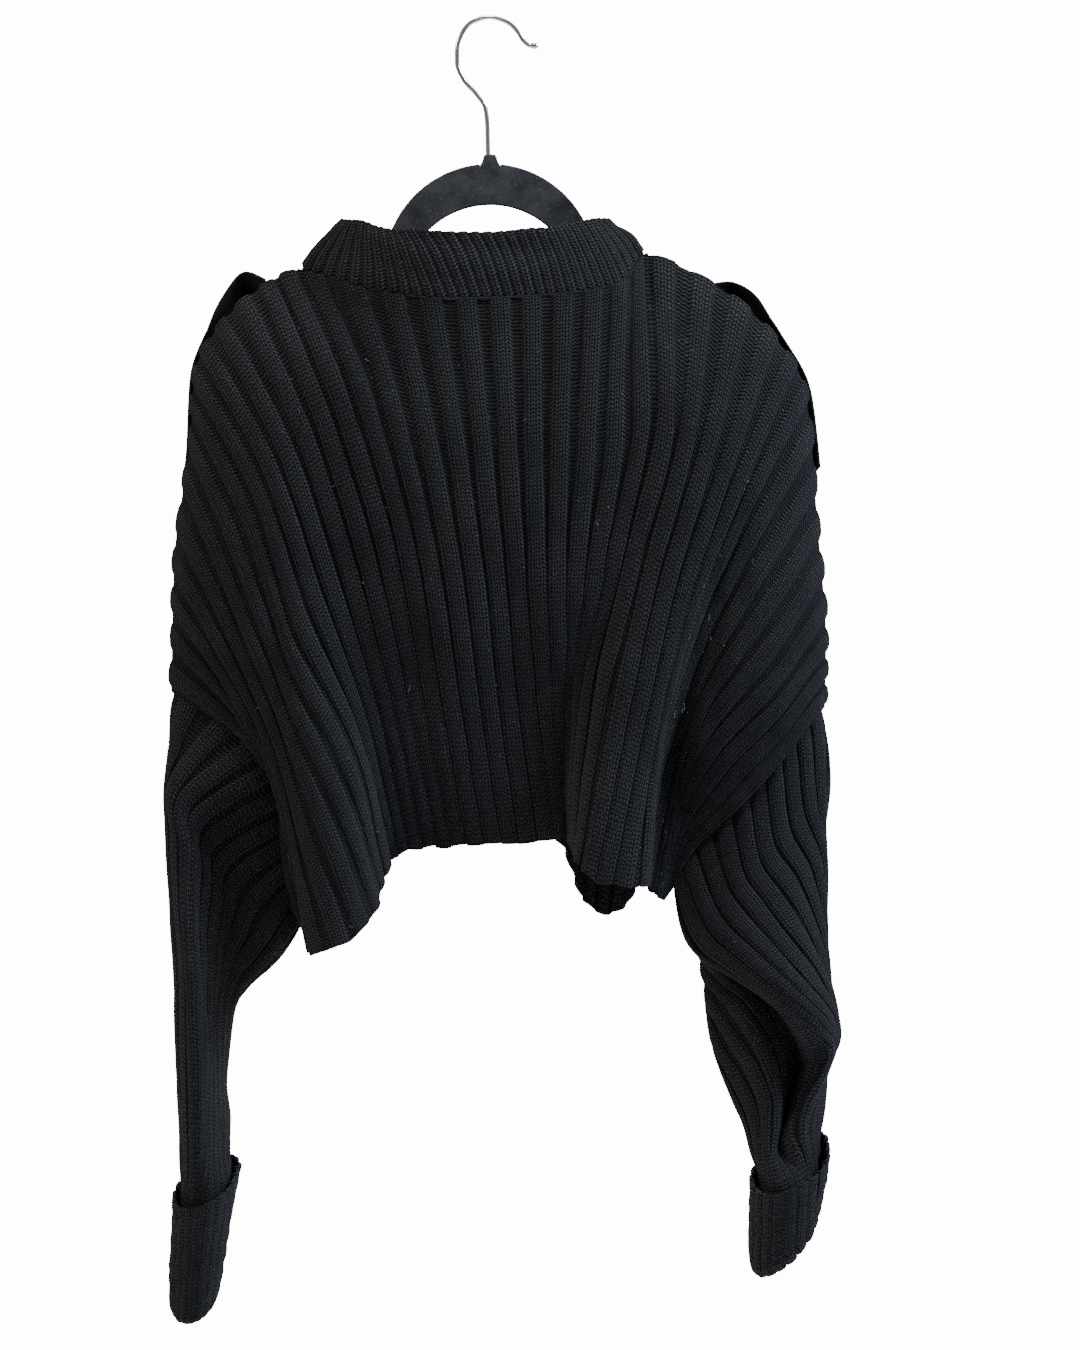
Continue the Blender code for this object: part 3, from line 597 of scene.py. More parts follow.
def knit_material(name, wales):
    """Black wool: yarn fuzz, painted shade in the grooves, painted highlights on raised stitches,
    specks of lint, and a bump for each stitch.
    """
    kit = Nodes(name, (0.008, 0.008, 0.009), 0.95, 0.05)
    across, down, _ = kit.knit_coordinates()
    where = kit.place()
    sway = kit.math("SUBTRACT", kit.noise(where, 160, 2, 0.5), 0.5)
    rise = kit.math("DIVIDE", kit.math("MULTIPLY_ADD", sway, 2.2, down), COURSE)
    columns = kit.math("MULTIPLY_ADD", across, wales, kit.math("MULTIPLY_ADD", sway, 0.3, 0.5))
    place = kit.math("FRACT", columns)
    side = kit.math("MULTIPLY", kit.math("ABSOLUTE", kit.math("SUBTRACT", place, 0.5)), 2.0)
    # a knit column is two slanting legs that meet in its middle, once for each stitch
    leg = kit.math("POWER", kit.math("SINE", kit.math("MULTIPLY", side, math.pi)), 0.6)
    phase = kit.math("MULTIPLY_ADD", side, -0.62, rise)
    turn = kit.math("COSINE", kit.math("MULTIPLY", phase, 2 * math.pi))
    knit = kit.math("MULTIPLY", leg, kit.math("MULTIPLY_ADD", turn, 0.36, 0.64))
    # a purl column is a ladder of short arches
    arch = kit.math("MULTIPLY_ADD", side, 0.3, rise)
    bar = kit.math("COSINE", kit.math("MULTIPLY", arch, 2 * math.pi))
    purl = kit.math("MULTIPLY_ADD", bar, 0.3, 0.38)
    from_middle = kit.math("ABSOLUTE", kit.math("SUBTRACT", kit.math("FRACT", across), 0.5))
    raised = kit.math("LESS_THAN", from_middle, 0.25)
    sunk = kit.math("SUBTRACT", 1.0, raised)
    height = kit.math("MULTIPLY_ADD", knit, raised, kit.math("MULTIPLY", purl, sunk))
    fuzz = kit.noise(where, 1500, 3, 0.7)
    # painted highlight: a stitch is lighter the higher it stands, and the fibres' fuzz adds random
    # tone
    fuzz_and_stitch_highlight = kit.math("MULTIPLY_ADD", fuzz, 0.95, kit.math("MULTIPLY", height, 0.6))
    shade = kit.ramp(fuzz_and_stitch_highlight, [(0.3, grey(0.0008)), (0.62, grey(0.005)), (1.0, grey(0.042))])
    worn = kit.math("MULTIPLY", kit.noise(where, 14, 4, 0.6), 0.8)
    shade = kit.mix(worn, shade, (0.0035, 0.0035, 0.004))
    # painted shade: the colour goes almost black deep in the grooves between ribs, where shade
    # falls
    depth = kit.attribute("groove_shade")
    shade = kit.mix(kit.math("MULTIPLY", depth, 0.93), shade, grey(0.0002))
    lint = kit.specks(where, 560, 1, 0.5, 0.745)
    shade = kit.mix(kit.math("MULTIPLY", lint, 0.5), shade, (0.09, 0.088, 0.085))
    normal = kit.bump(height, 0.0016, 1.0)
    pills = kit.noise(where, 340, 3, 0.6)
    rough = kit.math("MULTIPLY_ADD", fuzz, 0.6, kit.math("MULTIPLY", pills, 0.5))
    normal = kit.bump(rough, 0.0009, 0.7, normal)
    return kit.finish(shade, normal, sheen=0.035, sheen_roughness=0.4, sheen_tint=(0.92, 0.94, 1.0))


WOOL = knit_material("black wool rib", WALES)
COLLAR_WOOL = knit_material("black wool collar rib", COLLAR_WALES)
print("wool finishes:", WOOL.name, "and", COLLAR_WOOL.name)

# %% [markdown]
# ## Back and front
# The back carries the folds that hang from the shoulders. They are given one by one, each
# from a place near the armhole or neck down towards the hem, and no two are alike.

# %% Body panels

BACK_CREASES = [
    # rib and share down where it starts, the same where it ends, width in ribs, rise
    (9.5, 0.25, 7.0, 0.9, 1.6, 3.0),
    (11.6, 0.35, 10.2, 0.95, 1.1, -2.4),
    (12.4, 0.02, 11.6, 0.4, 1.4, -2.0),
    (15.5, 0.45, 15.0, 0.98, 1.5, 2.0),
    (19.0, 0.3, 18.6, 0.98, 1.3, -1.8),
    (21.6, 0.5, 20.8, 0.98, 1.2, 1.8),
    (24.4, 0.06, 24.6, 0.5, 1.3, -2.0),
    (27.5, 0.3, 27.4, 0.8, 1.2, 1.8),
    (31.0, 0.35, 32.4, 1.45, 1.7, -8.0),
    (30.5, 0.1, 31.5, 0.6, 1.2, -2.0),
    (34.6, 0.15, 33.8, 0.6, 1.0, 1.6),
    (5.0, 0.1, 3.6, 0.5, 1.2, -1.8),
    (1.6, 0.55, 1.6, 1.3, 1.2, -4.0),
    (2.4, 0.25, 2.0, 0.6, 0.8, 1.2),
]
FRONT_CREASES = [
    (8.5, 0.2, 7.5, 0.9, 1.6, 3.2),
    (14.0, 0.4, 13.0, 0.98, 1.6, -2.6),
    (19.5, 0.15, 20.5, 0.7, 2.0, -2.2),
    (24.5, 0.3, 25.5, 0.95, 1.4, 2.8),
    (30.5, 0.2, 31.0, 0.8, 1.3, -2.4),
    (35.0, 0.15, 34.5, 0.7, 1.2, 1.8),
    (4.0, 0.15, 3.4, 0.7, 1.0, -1.6),
]
ARMHOLE_RIDGE = 2.6  # how far the back's edge stands over the sleeve that it is sewn to
SEAM_REACH = 0.04  # the share of a panel in which its ribs turn to meet the other panel's


def shoulder_normals(facing, normals, columns, downs):
    """Turn the normals at the shoulder seam the same way on both panels.

    Each rib then meets its partner crest to crest, and the seam stays shut."""
    other = surface_normals(panel_surface(-facing, columns, downs), False, -facing)
    shared = unit(normals[0] + other[0])
    neck = smoothstep(NECK_RIBS[0] - 1, NECK_RIBS[0], columns)
    neck = neck * (1 - smoothstep(NECK_RIBS[1], NECK_RIBS[1] + 1, columns))
    share = np.outer(1 - smoothstep(0, SEAM_REACH, downs), 1 - neck)[..., None]
    return unit(normals * (1 - share) + shared[None] * share)


def make_panel(name, facing, downs, columns, creases, ridge, seed):
    rng = np.random.default_rng(seed)
    base = panel_surface(facing, columns, downs)
    normals = surface_normals(base, False, facing)
    normals = shoulder_normals(facing, normals, columns, downs)
    edge = smoothstep(0, 2.5, columns) * smoothstep(0, 2.5, RIBS - columns)
    calm = edge[None, :] * (smoothstep(0, 0.06, downs))[:, None]
    folds = creased(columns, downs, creases) + 0.8 * wander(rng, *base.shape[:2], 5, 8)
    look = knit_look(base, columns, False, CREST, rng)
    edges = np.exp(-((columns / 0.7) ** 2)) + np.exp(-(((RIBS - columns) / 0.7) ** 2))
    sewn = smoothstep(0.2, 0.45, downs) * (1 - smoothstep(0.84, 0.91, downs))
    look[0] = look[0] + folds * calm + ridge * np.outer(sewn, edges)
    hem = smoothstep(0.965, 1.0, downs)[:, None]
    base[..., 2] += 1.6 * hem * wander(rng, *base.shape[:2], 1, 26)
    piece = make_cloth(name, base, normals, columns, False, facing, look, WOOL)
    declare_cloth(piece, name.removesuffix("_cloth"))


BACK_DOWNS = np.concatenate([np.linspace(0, 0.06, 9)[:-1], np.linspace(0.06, 1, 92)])
FRONT_DOWNS = np.concatenate([np.linspace(0, 0.06, 7)[:-1], np.linspace(0.06, 1, 60)])
BACK_COLUMNS = rib_columns(RIBS)
FRONT_COLUMNS = rib_columns(RIBS, RIB_PLACES[::2])
make_panel(
    "back_cloth", -1, BACK_DOWNS, BACK_COLUMNS, BACK_CREASES, ARMHOLE_RIDGE, 11
)
make_panel(
    "front_cloth", 1, FRONT_DOWNS, FRONT_COLUMNS, FRONT_CREASES, 0.0, 12
)

# %% [markdown]
# ## Sleeves
# A sleeve is a tube of twenty ribs that starts on the armhole and ends inside its cuff.
# The left one hangs as a flattened tube. The upper part of the right one has fallen
# over its lower part, so its rings are hooked: a flap, a pocket behind it, and a lobe.

# %% Sleeve and cuff surfaces

SLEEVE_RIBS = 2 * ARMHOLE_ROWS

# left sleeve, a row for each ring: its underarm side, the slope behind it, the ridge that
# faces out, its outer side (x, z, y each), how far back its far wall lies and how much
# higher than its sides that wall is
LEFT_SLEEVE = [
    ((-147, -659, 4), (-185, -605, -4), (-217, -558, -20), (-228, -540, 0), 32, 0),
    ((-161, -675, 8), (-193, -633, 0), (-217, -593, -26), (-228, -579, 2), 37, 0),
    ((-176, -689, 10), (-199, -658, -2), (-217, -633, -30), (-226, -618, 4), 38, 0),
    ((-186, -706, 10), (-201, -683, -8), (-215, -665, -32), (-224, -654, 4), 38, 0),
    ((-190, -733, 8), (-202, -711, -18), (-212, -700, -33), (-222, -693, 4), 38, 0),
    ((-192, -761, 6), (-201, -745, -22), (-210, -740, -33), (-221, -736, 4), 37, 2),
    ((-190, -786, 4), (-200, -778, -24), (-209, -775, -33), (-219, -772, 4), 35, 6),
    ((-190, -809, 2), (-200, -811, -24), (-209, -812, -31), (-218, -808, 2), 32, 12),
]
LEFT_SLEEVE_PLACES = (0.0, 4.0, 7.5, 10.0)  # the ribs at those four places
LEFT_FAR_PLACES = ((12.8, 0.25), (16.8, 0.78))  # ribs of the far wall, and how far across
# right sleeve, a row for each ring: the lower edge of its upper flap, the flap's middle,
# its outer side, the left edge of the part under the flap, that part's ridge, the pocket
# beside it, the side beyond the pocket (x, z, y each), how far back its far wall lies and
# how much that wall is raised, and the ribs of the flap and of the part under it
RIGHT_SLEEVE = [
    ((141, -645, -8), (190, -600, -18), (236, -550, -3), (148, -650, 20), (146, -651, 11),
     (143, -648, 1), (236, -553, 8), 36, 0, 9.6, 2.0),
    ((152, -663, -14), (196, -631, -24), (235, -600, -1), (153, -664, 25), (154, -666, 14),
     (156, -666, 3), (234, -603, 10), 42, 0, 8.0, 3.0),
    ((173, -677, -22), (206, -661, -29), (235, -647, 1), (155, -682, 21), (165, -683, 5),
     (178, -681, 2), (235, -650, 12), 46, 0, 6.5, 4.0),
    ((199, -695, -27), (220, -689, -32), (237, -682, 1), (157, -701, 14), (180, -703, -7),
     (200, -700, 2), (238, -684, 14), 48, 0, 5.0, 5.0),
    ((225, -716, -28), (235, -713, -28), (243, -709, -2), (161, -728, 12), (192, -729, -10),
     (213, -727, 7), (243, -710, 16), 50, 2, 3.5, 5.8),
    ((238, -733, -20), (243, -731, -13), (244.5, -730, -4), (168, -749, 10), (197, -750, -12),
     (217, -748, 10), (244, -728, 16), 50, 4, 2.2, 6.4),
    ((234, -752, -13), (238, -751, -4), (238.5, -749, 5), (176, -770, 8), (200, -769, -12),
     (213, -765, 9), (237, -745, 18), 48, 8, 2.2, 6.8),
    ((225, -774, -13), (230, -772, -8), (234, -769, 1), (184, -788, 8), (200, -789, -12),
     (210, -786, 4), (236, -765, 18), 42, 10, 2.2, 7.0),
    ((220, -795, -16), (225, -793, -11), (230, -789, -3), (190, -808, 5), (200, -810, -17),
     (206, -806, -5), (235, -783, 14), 34, 12, 2.2, 7.0),
]
POCKET_RIBS = 1.2  # the ribs from the pocket up under the flap's edge
FAR_WALL_SHARE = 0.55  # how far across from the beyond column the far wall's middle is
BEYOND_RIB_SHARE = 0.22  # the share of the far ribs that lies before the beyond column

# turned-back cuffs: left and right ends of the rim and of the bottom (x, z each), how far
# the near side of each hangs below its middle, and half its depth
LEFT_CUFF = (((-223, -839), (-182.5, -819), 16, 36), ((-224, -919), (-197, -906), 15, 32))
RIGHT_CUFF = (((189.5, -827), (239, -805), 19, 36), ((190, -890), (234, -844), 16, 32))
RIGHT_CUFF_START = 0.25 * math.pi  # how far round its right end the first rib starts
CUFF_GAP = 7.0  # from the cuff's base surface in to the sleeve's
CUFF_PLACES = (0.03, 0.5, 1.0)  # how far down a cuff the rings of the sleeve in it lie
CUFF_DENT = 4.0  # how far the right sleeve is pressed in at its cuff's rim
LEFT_END_LIFT = 4.0  # how far above the fold at its cuff's bottom each sleeve ends
RIGHT_END_LIFT = 5.6
SLEEVE_ROWS = 124  # rows of points along a sleeve
ARMHOLE_SINK = 2.2  # how far a sleeve's first rows slip under the panels' edge


def swap(place):
    return np.array([place[0], place[2], place[1]], float)


def left_ring(row, at):
    *places, far, rise = row
    places = [swap(place) for place in places]
    stations = list(zip(LEFT_SLEEVE_PLACES, places))
    for place, share in LEFT_FAR_PLACES:
        point = places[3] * (1 - share) + places[0] * share
        stations.append((place, np.array([point[0], far, point[2] + rise])))
    return closed_curve(stations, SLEEVE_RIBS, at)


def right_ring(row, at):
    *places, far, rise, flap_ribs, lower_ribs = row
    edge, middle, outer, left, ridge, pocket, beyond = map(swap, places)
    far_wall = beyond * (1 - FAR_WALL_SHARE) + left * FAR_WALL_SHARE
    far_wall[1] = far
    far_wall[2] += rise
    left_rib = SLEEVE_RIBS - lower_ribs
    beyond_rib = flap_ribs + (left_rib - flap_ribs) * BEYOND_RIB_SHARE
    stations = [
        (0.0, edge),
        (flap_ribs * 0.5, middle),
        (flap_ribs, outer),
        (beyond_rib, beyond),
        ((beyond_rib + left_rib) / 2, far_wall),
        (left_rib, left),
        (SLEEVE_RIBS - (lower_ribs + POCKET_RIBS) / 2, ridge),
        (SLEEVE_RIBS - POCKET_RIBS, pocket),
    ]
    return closed_curve(stations, SLEEVE_RIBS, at)


def cuff_ring(cuff, down, inset, first_angle, at, lift=0.0, dent=0.0):
    """A slanted oval round a cuff, or round the sleeve inside it."""
    (left0, right0, dip0, depth0), (left1, right1, dip1, depth1) = cuff
    left = np.array(left0) * (1 - down) + np.array(left1) * down
    right = np.array(right0) * (1 - down) + np.array(right1) * down
    dip = dip0 + (dip1 - dip0) * down
    depth = depth0 + (depth1 - depth0) * down
    half = np.array([right[0] - left[0], 0, right[1] - left[1]]) / 2
    centre = np.array([right[0] + left[0], 0, right[1] + left[1]]) / 2
    way = -1 if first_angle > 0 else 1
    angle = first_angle + way * at * 2 * math.pi / SLEEVE_RIBS
    pressed = inset + dent * np.maximum(0, np.cos(angle - math.pi / 4)) ** 2
    wide = 1 - pressed / np.linalg.norm(half)
    deep = 1 - pressed / depth
    near = np.array([0, -depth, -dip])
    ring = centre + half * (wide * np.cos(angle))[:, None] + near * (deep * np.sin(angle))[:, None]
    ring[:, 2] += lift
    return ring


def armhole_ring(edge, at):
    """The panels' edge that a sleeve is sewn to, read at places round the sleeve."""
    down = np.abs(SLEEVE_RIBS / 2 - at) / ROWS
    order = np.argsort(down)
    ring = np.zeros((len(at), 3))
    for facing, chosen in ((-1, at <= SLEEVE_RIBS / 2), (1, at > SLEEVE_RIBS / 2)):
        column = panel_surface(facing, [edge], down[order])[:, 0]
        side = np.zeros_like(ring)
        side[order] = column
        ring[chosen] = side[chosen]
    return ring


def sleeve_surface(edge, table, ring_of, cuff, first_angle, lift, dent, at, lengths):
    """Rings from the armhole to the end inside the cuff, read at shares of its length."""
    rings = [armhole_ring(edge, at)] + [ring_of(row, at) for row in table]
    for down, raised, pressed in zip(CUFF_PLACES, (0.0, 0.0, lift), (dent, 0.0, 0.0)):
        rings.append(cuff_ring(cuff, down, CUFF_GAP, first_angle, at, raised, pressed))
    rings = np.array(rings)
    count = len(rings)
    t = np.clip(lengths, 0, 1) * (count - 1)
    index = np.minimum(t.astype(int), count - 2)
    t = (t - index)[:, None, None]
    p1, p2 = rings[index], rings[index + 1]
    p0, p3 = rings[np.maximum(index - 1, 0)], rings[np.minimum(index + 2, count - 1)]
    start, end = (p2 - p0) / 2, (p3 - p1) / 2
    low = p1 * (1 + 2 * t) * (1 - t) ** 2 + start * t * (1 - t) ** 2
    return low + p2 * t * t * (3 - 2 * t) + end * t * t * (t - 1)


# columns as in the body panels' folds
LEFT_CREASES = [
    (7.0, 0.14, 8.6, 0.5, 0.9, -2.2),
    (3.2, 0.2, 5.2, 0.62, 1.0, 1.8),
    (8.8, 0.45, 8.2, 0.78, 0.7, 1.6),
    (5.0, 0.5, 6.4, 0.9, 0.8, -1.6),
    (14.0, 0.2, 15.0, 0.7, 1.2, -2.2),
    (17.0, 0.15, 16.0, 0.6, 1.2, 1.8),
]
RIGHT_CREASES = [
    # the rolled edge of the flap, and the shadow that it throws
    (20.0, 0.0, 20.0, 0.6, 0.34, 2.6),
    (19.35, 0.2, 19.3, 0.75, 0.3, -1.6),
    (6.6, 0.05, 3.0, 0.4, 0.8, 1.8),
    (4.4, 0.1, 2.0, 0.42, 0.7, -1.6),
    (16.6, 0.4, 16.2, 0.85, 0.7, 1.6),
    (15.2, 0.35, 14.6, 0.8, 0.7, -1.4),
    (11.0, 0.2, 10.0, 0.7, 1.2, -2.4),
    (8.6, 0.3, 7.4, 0.75, 1.1, 1.8),
]


def make_sleeve(side, tube, outward, creases, seed):
    """A sleeve. Its tube holds the first seven arguments of sleeve_surface."""
    rng = np.random.default_rng(seed)
    columns = rib_columns(SLEEVE_RIBS, closed=True)
    lengths = np.linspace(0, 1, SLEEVE_ROWS)
    base = sleeve_surface(*tube, columns, lengths)
    normals = surface_normals(base, True, outward)
    look = knit_look(base, columns, True, CREST, rng)
    calm = (smoothstep(0, 0.1, lengths) * (1 - smoothstep(0.68, 0.78, lengths)))[:, None]
    around = np.concatenate([columns - SLEEVE_RIBS, columns, columns + SLEEVE_RIBS])
    folds = creased(around, lengths, creases).reshape(len(lengths), 3, -1).sum(axis=1)
    slip = ARMHOLE_SINK * (1 - smoothstep(0.004, 0.03, lengths))[:, None]
    look[0] = look[0] + folds * calm - slip
    piece = make_cloth(f"sleeve_{side}_cloth", base, normals, columns, True, outward, look, WOOL)
    declare_cloth(piece, "sleeve_" + side)


LEFT_TUBE = (0, LEFT_SLEEVE, left_ring, LEFT_CUFF, 0.0, LEFT_END_LIFT, 0.0)
RIGHT_TUBE = (
    RIBS, RIGHT_SLEEVE, right_ring, RIGHT_CUFF, RIGHT_CUFF_START, RIGHT_END_LIFT, CUFF_DENT
)
make_sleeve("left", LEFT_TUBE, 1, LEFT_CREASES, 21)
make_sleeve("right", RIGHT_TUBE, -1, RIGHT_CREASES, 22)

# %% [markdown]
# ## Cuffs
# Each sleeve's end is turned back over itself, so the cuff's folded edge is at the
# bottom and its cast-on edge is the loose rim at the top.

# %% Turned-back cuffs
CUFF_LIP = 8.0  # how far the fold at the bottom reaches in
FOLD_START = 0.955  # the share of a cuff at which its bottom starts to turn in
FOLD_ROUND = 3.2  # how far the turn reaches in
FOLD_FLAT = 5.2  # where the fold lies flat


def make_cuff(side, cuff, first_angle, outward, seed):
    rng = np.random.default_rng(seed)
    columns = rib_columns(SLEEVE_RIBS, closed=True)
    downs = np.linspace(0, FOLD_START, 26)
    rings = [cuff_ring(cuff, down, 0.0, first_angle, columns) for down in downs]
    for turn in np.linspace(0, math.pi / 2, 6)[1:]:
        down = FOLD_START + (1 - FOLD_START) * math.sin(turn)
        inset = FOLD_ROUND * (1 - math.cos(turn))
        rings.append(cuff_ring(cuff, down, inset, first_angle, columns))
    rings.append(cuff_ring(cuff, 1.0, FOLD_FLAT, first_angle, columns))
    rings.append(cuff_ring(cuff, 1.0, CUFF_LIP, first_angle, columns, lift=0.6))
    base = np.array(rings)
    normals = surface_normals(base, True, outward)
    look = knit_look(base, columns, True, CREST, rng)
    look[0] = look[0] + 0.7 * wander(rng, *base.shape[:2], 2, 3)
    rim = (1 - smoothstep(0, 0.25, np.linspace(0, 1, len(rings))))[:, None]
    base[..., 2] += 1.3 * rim * wander(rng, *base.shape[:2], 1, 5)
    piece = make_cloth(f"cuff_{side}_cloth", base, normals, columns, True, outward, look, WOOL)
    declare_cloth(piece, "cuff_" + side)


make_cuff("left", LEFT_CUFF, 0.0, 1, 31)
make_cuff("right", RIGHT_CUFF, RIGHT_CUFF_START, -1, 32)

# %% [markdown]
# ## Collar
# The mock neck is picked up round the neckline as fine single ribs, three to each body
# rib. It leans in as it rises, and its top edge slumps unevenly between its two ends.

# %% Collar

BACK_COLLAR_RIBS = 3 * (NECK_RIBS[1] - NECK_RIBS[0])  # single ribs, three to a body rib
COLLAR_RIBS = 2 * BACK_COLLAR_RIBS
COLLAR_CREST = 1.1
COLLAR_KNIT_WIDTH = 3.8
COLLAR_BOW = 4.5  # how far the collar bows up between its seam and its edge
COLLAR_SINK = 1.2  # how far its first rows slip under the panels' edge
# the collar's top edge: share of the way round from the left end, x, z, y
COLLAR_TOP = [
    (0.0, -104, -145.5, 0),
    (0.06, -93, -145, -12),
    (0.115, -78, -147, -20),
    (0.165, -60, -152, -24),
    (0.25, -12, -152.5, -28),
    (0.345, 37, -151, -25),
    (0.41, 60, -147.5, -18),
    (0.46, 75, -143.5, -10),
    (0.5, 84, -145, 0),
    (0.55, 76, -147, 12),
    (0.64, 42, -156, 24),
    (0.75, -12, -160, 29),
    (0.86, -68, -157, 24),
    (0.95, -96, -148, 11),
    (1.0, -104, -145.5, 0),
]


def neck_ring(at):
    """The neckline at places counted in collar ribs: along the back, then the front."""
    half = COLLAR_RIBS / 2
    ribs = NECK_RIBS[1] - NECK_RIBS[0]
    there = NECK_RIBS[0] + at / half * ribs
    back_again = NECK_RIBS[1] - (at - half) / half * ribs
    rib = np.where(at <= half, there, back_again)
    ring = np.zeros((len(at), 3))
    for facing, chosen in ((-1, at <= half), (1, at > half)):
        ring[chosen] = panel_surface(facing, rib[chosen], [0.0])[0]
    return ring


def make_collar():
    rng = np.random.default_rng(41)
    columns = rib_columns(COLLAR_RIBS, RIB_PLACES[::2], closed=True)
    neck = neck_ring(columns)
    top = read_table(COLLAR_TOP, columns / COLLAR_RIBS)[:, [0, 2, 1]]
    shares = np.linspace(0, 1, 30)[:, None, None]
    bow = np.array([0, 0, COLLAR_BOW]) * np.sin(math.pi * shares)
    base = neck * (1 - shares) + top * shares + bow
    normals = surface_normals(base, True, 1)
    look = knit_look(base, columns, True, COLLAR_CREST, rng, COLLAR_KNIT_WIDTH)
    rows = shares[:, 0]
    slack = 0.9 * wander(rng, *base.shape[:2], 2, 6) * smoothstep(0.05, 0.4, rows)
    look[0] = look[0] + slack - COLLAR_SINK * (1 - smoothstep(0, 0.06, rows))
    base[..., 2] += 1.1 * smoothstep(0.75, 1, rows) * wander(rng, *base.shape[:2], 1, 12)
    piece = make_cloth("collar_cloth", base, normals, columns, True, 1, look, COLLAR_WOOL)
    declare_cloth(piece, "collar")


make_collar()

# %% [markdown]
# ## Shoulder tabs
# Two smooth woven straps lie along the shoulders on the front. One edge is sewn down
# and the end near the neck stands clear, so from behind only their edges show.

# %% Tabs

# how far a tab lies off the cloth: rib, lift
LEFT_TAB = [(5.8, 1.4), (7, 2.4), (8.5, 2.9), (10, 4), (11, 7.5), (11.9, 10), (12.5, 2)]
RIGHT_TAB = [(26.7, 1.8), (27.1, 6.5), (28, 2.2), (29.5, 1.5), (31, 1.5), (32.2, 2.8)]
TAB_TOP = 0.006  # shares of the panel's length
TAB_WIDTH = 0.08
TAB_LIFT = 2.0  # what every part of a tab stands off the cloth besides
TAB_CLOTH = 1.7
# how far a tab's upper edge stands over the shoulder line: rib, distance
LEFT_STAND = [(5.8, 0.5), (8.5, 1.5), (9.5, 3), (10.5, 6), (11.5, 11), (12.05, 14), (12.6, 3)]
RIGHT_STAND = [(26.7, 1), (27.1, 8), (27.6, 11), (28.3, 7), (29.5, 4.5), (31, 4), (32.2, 3)]


def webbing_material():
    kit = Nodes("black woven tab", (0.006, 0.0065, 0.006), 0.8, 0.1)
    where = kit.place()
    weave = kit.noise(where, 2600, 2, 0.6)
    broad = kit.noise(where, 60, 3, 0.5)
    shade = kit.ramp(broad, [(0.3, (0.003, 0.0034, 0.0032)), (0.7, (0.009, 0.01, 0.0092))])
    return kit.finish(shade, kit.bump(weave, 0.0003, 0.7), sheen=0.03)


WEBBING = webbing_material()


def make_tab(side, table, stand):
    first, last = table[0][0], table[-1][0]
    ribs = np.linspace(first, last, 60)
    downs = np.linspace(TAB_TOP, TAB_TOP + TAB_WIDTH, 14)
    lift = read_table(table, ribs)[:, 0]
    base = panel_surface(1, ribs, downs)
    normals = surface_normals(base, False, 1)
    outline = np.gradient(base[0], axis=0)
    outward = np.stack([-outline[:, 2], np.zeros(len(ribs)), outline[:, 0]], axis=1)
    proud = read_table(stand, ribs)[:, 0]
    fade = 1 - np.linspace(0, 1, len(downs))
    base += fade[:, None, None] * proud[None, :, None] * unit(outward)[None]
    flat = np.zeros(base.shape[:2])
    look = [flat + lift + TAB_LIFT, flat, flat]
    piece = make_cloth(f"tab_{side}_cloth", base, normals, ribs, False, 1, look, WEBBING, TAB_CLOTH)
    node = "shoulder_tab_" + side
    declare_cloth(piece, node)


make_tab("left", LEFT_TAB, LEFT_STAND)
make_tab("right", RIGHT_TAB, RIGHT_STAND)

# %% [markdown]
# ## Hanger and hook
# The hanger is moulded plastic covered in flock: one flat loop with rounded edges and a
# short neck that grips the wire. A filled 2D curve with a bevel gives just that. The
# hook is one bent wire, so it is a curve with a round bevel and a small ball at its tip.

# %% Hanger shape
HANGER_THICKNESS = 6.4
HANGER_EDGE = 1.1
ARCH = (76.0, -179.0)  # radius and height of the centre
ARCH_SWEEP = (84, 25, 24)  # first and last angle in degrees, and how many points
OPENING = (62.0, -194.6)
OPENING_SWEEP = (90, 45, 20)
# one arm, from the arch out to its tip and back along the bar: x, z of its outer edge,
# then x, z of the opening's edge that faces it
ARM = [
    (78, -163, 58, -165),
    (92, -172.4, 70, -176),
    (130, -191.4, 108, -198),
    (160, -205.6, 136, -213),
    (174, -214.6, 146, -219),
    (182, -222.8, 150, -224),
    (184, -232.3, 151, -229),
    (180, -241, 148, -234),
    (170, -246, 142, -237),
    (120, -246, 115, -237),
    (0, -246, 0, -237),
]
ARM_STEPS = 5  # short lines between two rows
NUB = [(3.4, -96.4), (4.6, -97.6), (5.4, -101), (7.2, -104.4)]
# the hook's route, from the foot of its stem to its tip: x, z
HOOK_ROUTE = [
    (-1.4, -97.6),
    (-2, -74),
    (-3.5, -62.5),
    (-9, -54),
    (-18.5, -43.2),
    (-23.6, -30),
    (-23.6, -21),
    (-20.4, -10.5),
    (-12.8, -1.8),
    (0, 1.75),
    (12.1, -1.8),
    (20.2, -9),
    (24, -15),
    (28, -18.4),
    (34.5, -18.8),
]
HOOK_STEPS = 7
SHARP_CORNER = 40  # degrees above which an edge of the hanger stays sharp
WIRE = 3.4
TIP_BALL = 5.0
print("the wire turns through %d places on its way" % len(HOOK_ROUTE))


def arc(circle, first, last, steps):
    radius, centre = circle
    angles = np.radians(np.linspace(first, last, steps))
    return [(radius * math.cos(a), centre + radius * math.sin(a)) for a in angles]


def smooth_path(points, steps):
    """A smooth path through points, with steps short lines between each two."""
    points = np.array(points, float)
    places = np.concatenate([[0], np.cumsum(np.linalg.norm(np.diff(points, axis=0), axis=1))])
    at = np.concatenate([np.linspace(a, b, steps + 1)[:-1] for a, b in zip(places, places[1:])])
    return [tuple(point) for point in through(places, points, np.append(at, places[-1]))]


def mirrored(half):
    """A closed outline from its right half, given from the top round to the bottom."""
    return half + [(-x, z) for x, z in half[::-1] if abs(x) > 0.01]


def add_line(curve, points, closed):
    spline = curve.splines.new("POLY")
    spline.points.add(len(points) - 1)
    for point, place in zip(spline.points, points):
        point.co = (*[value * MM for value in place], 1)
    spline.use_cyclic_u = closed
    return spline


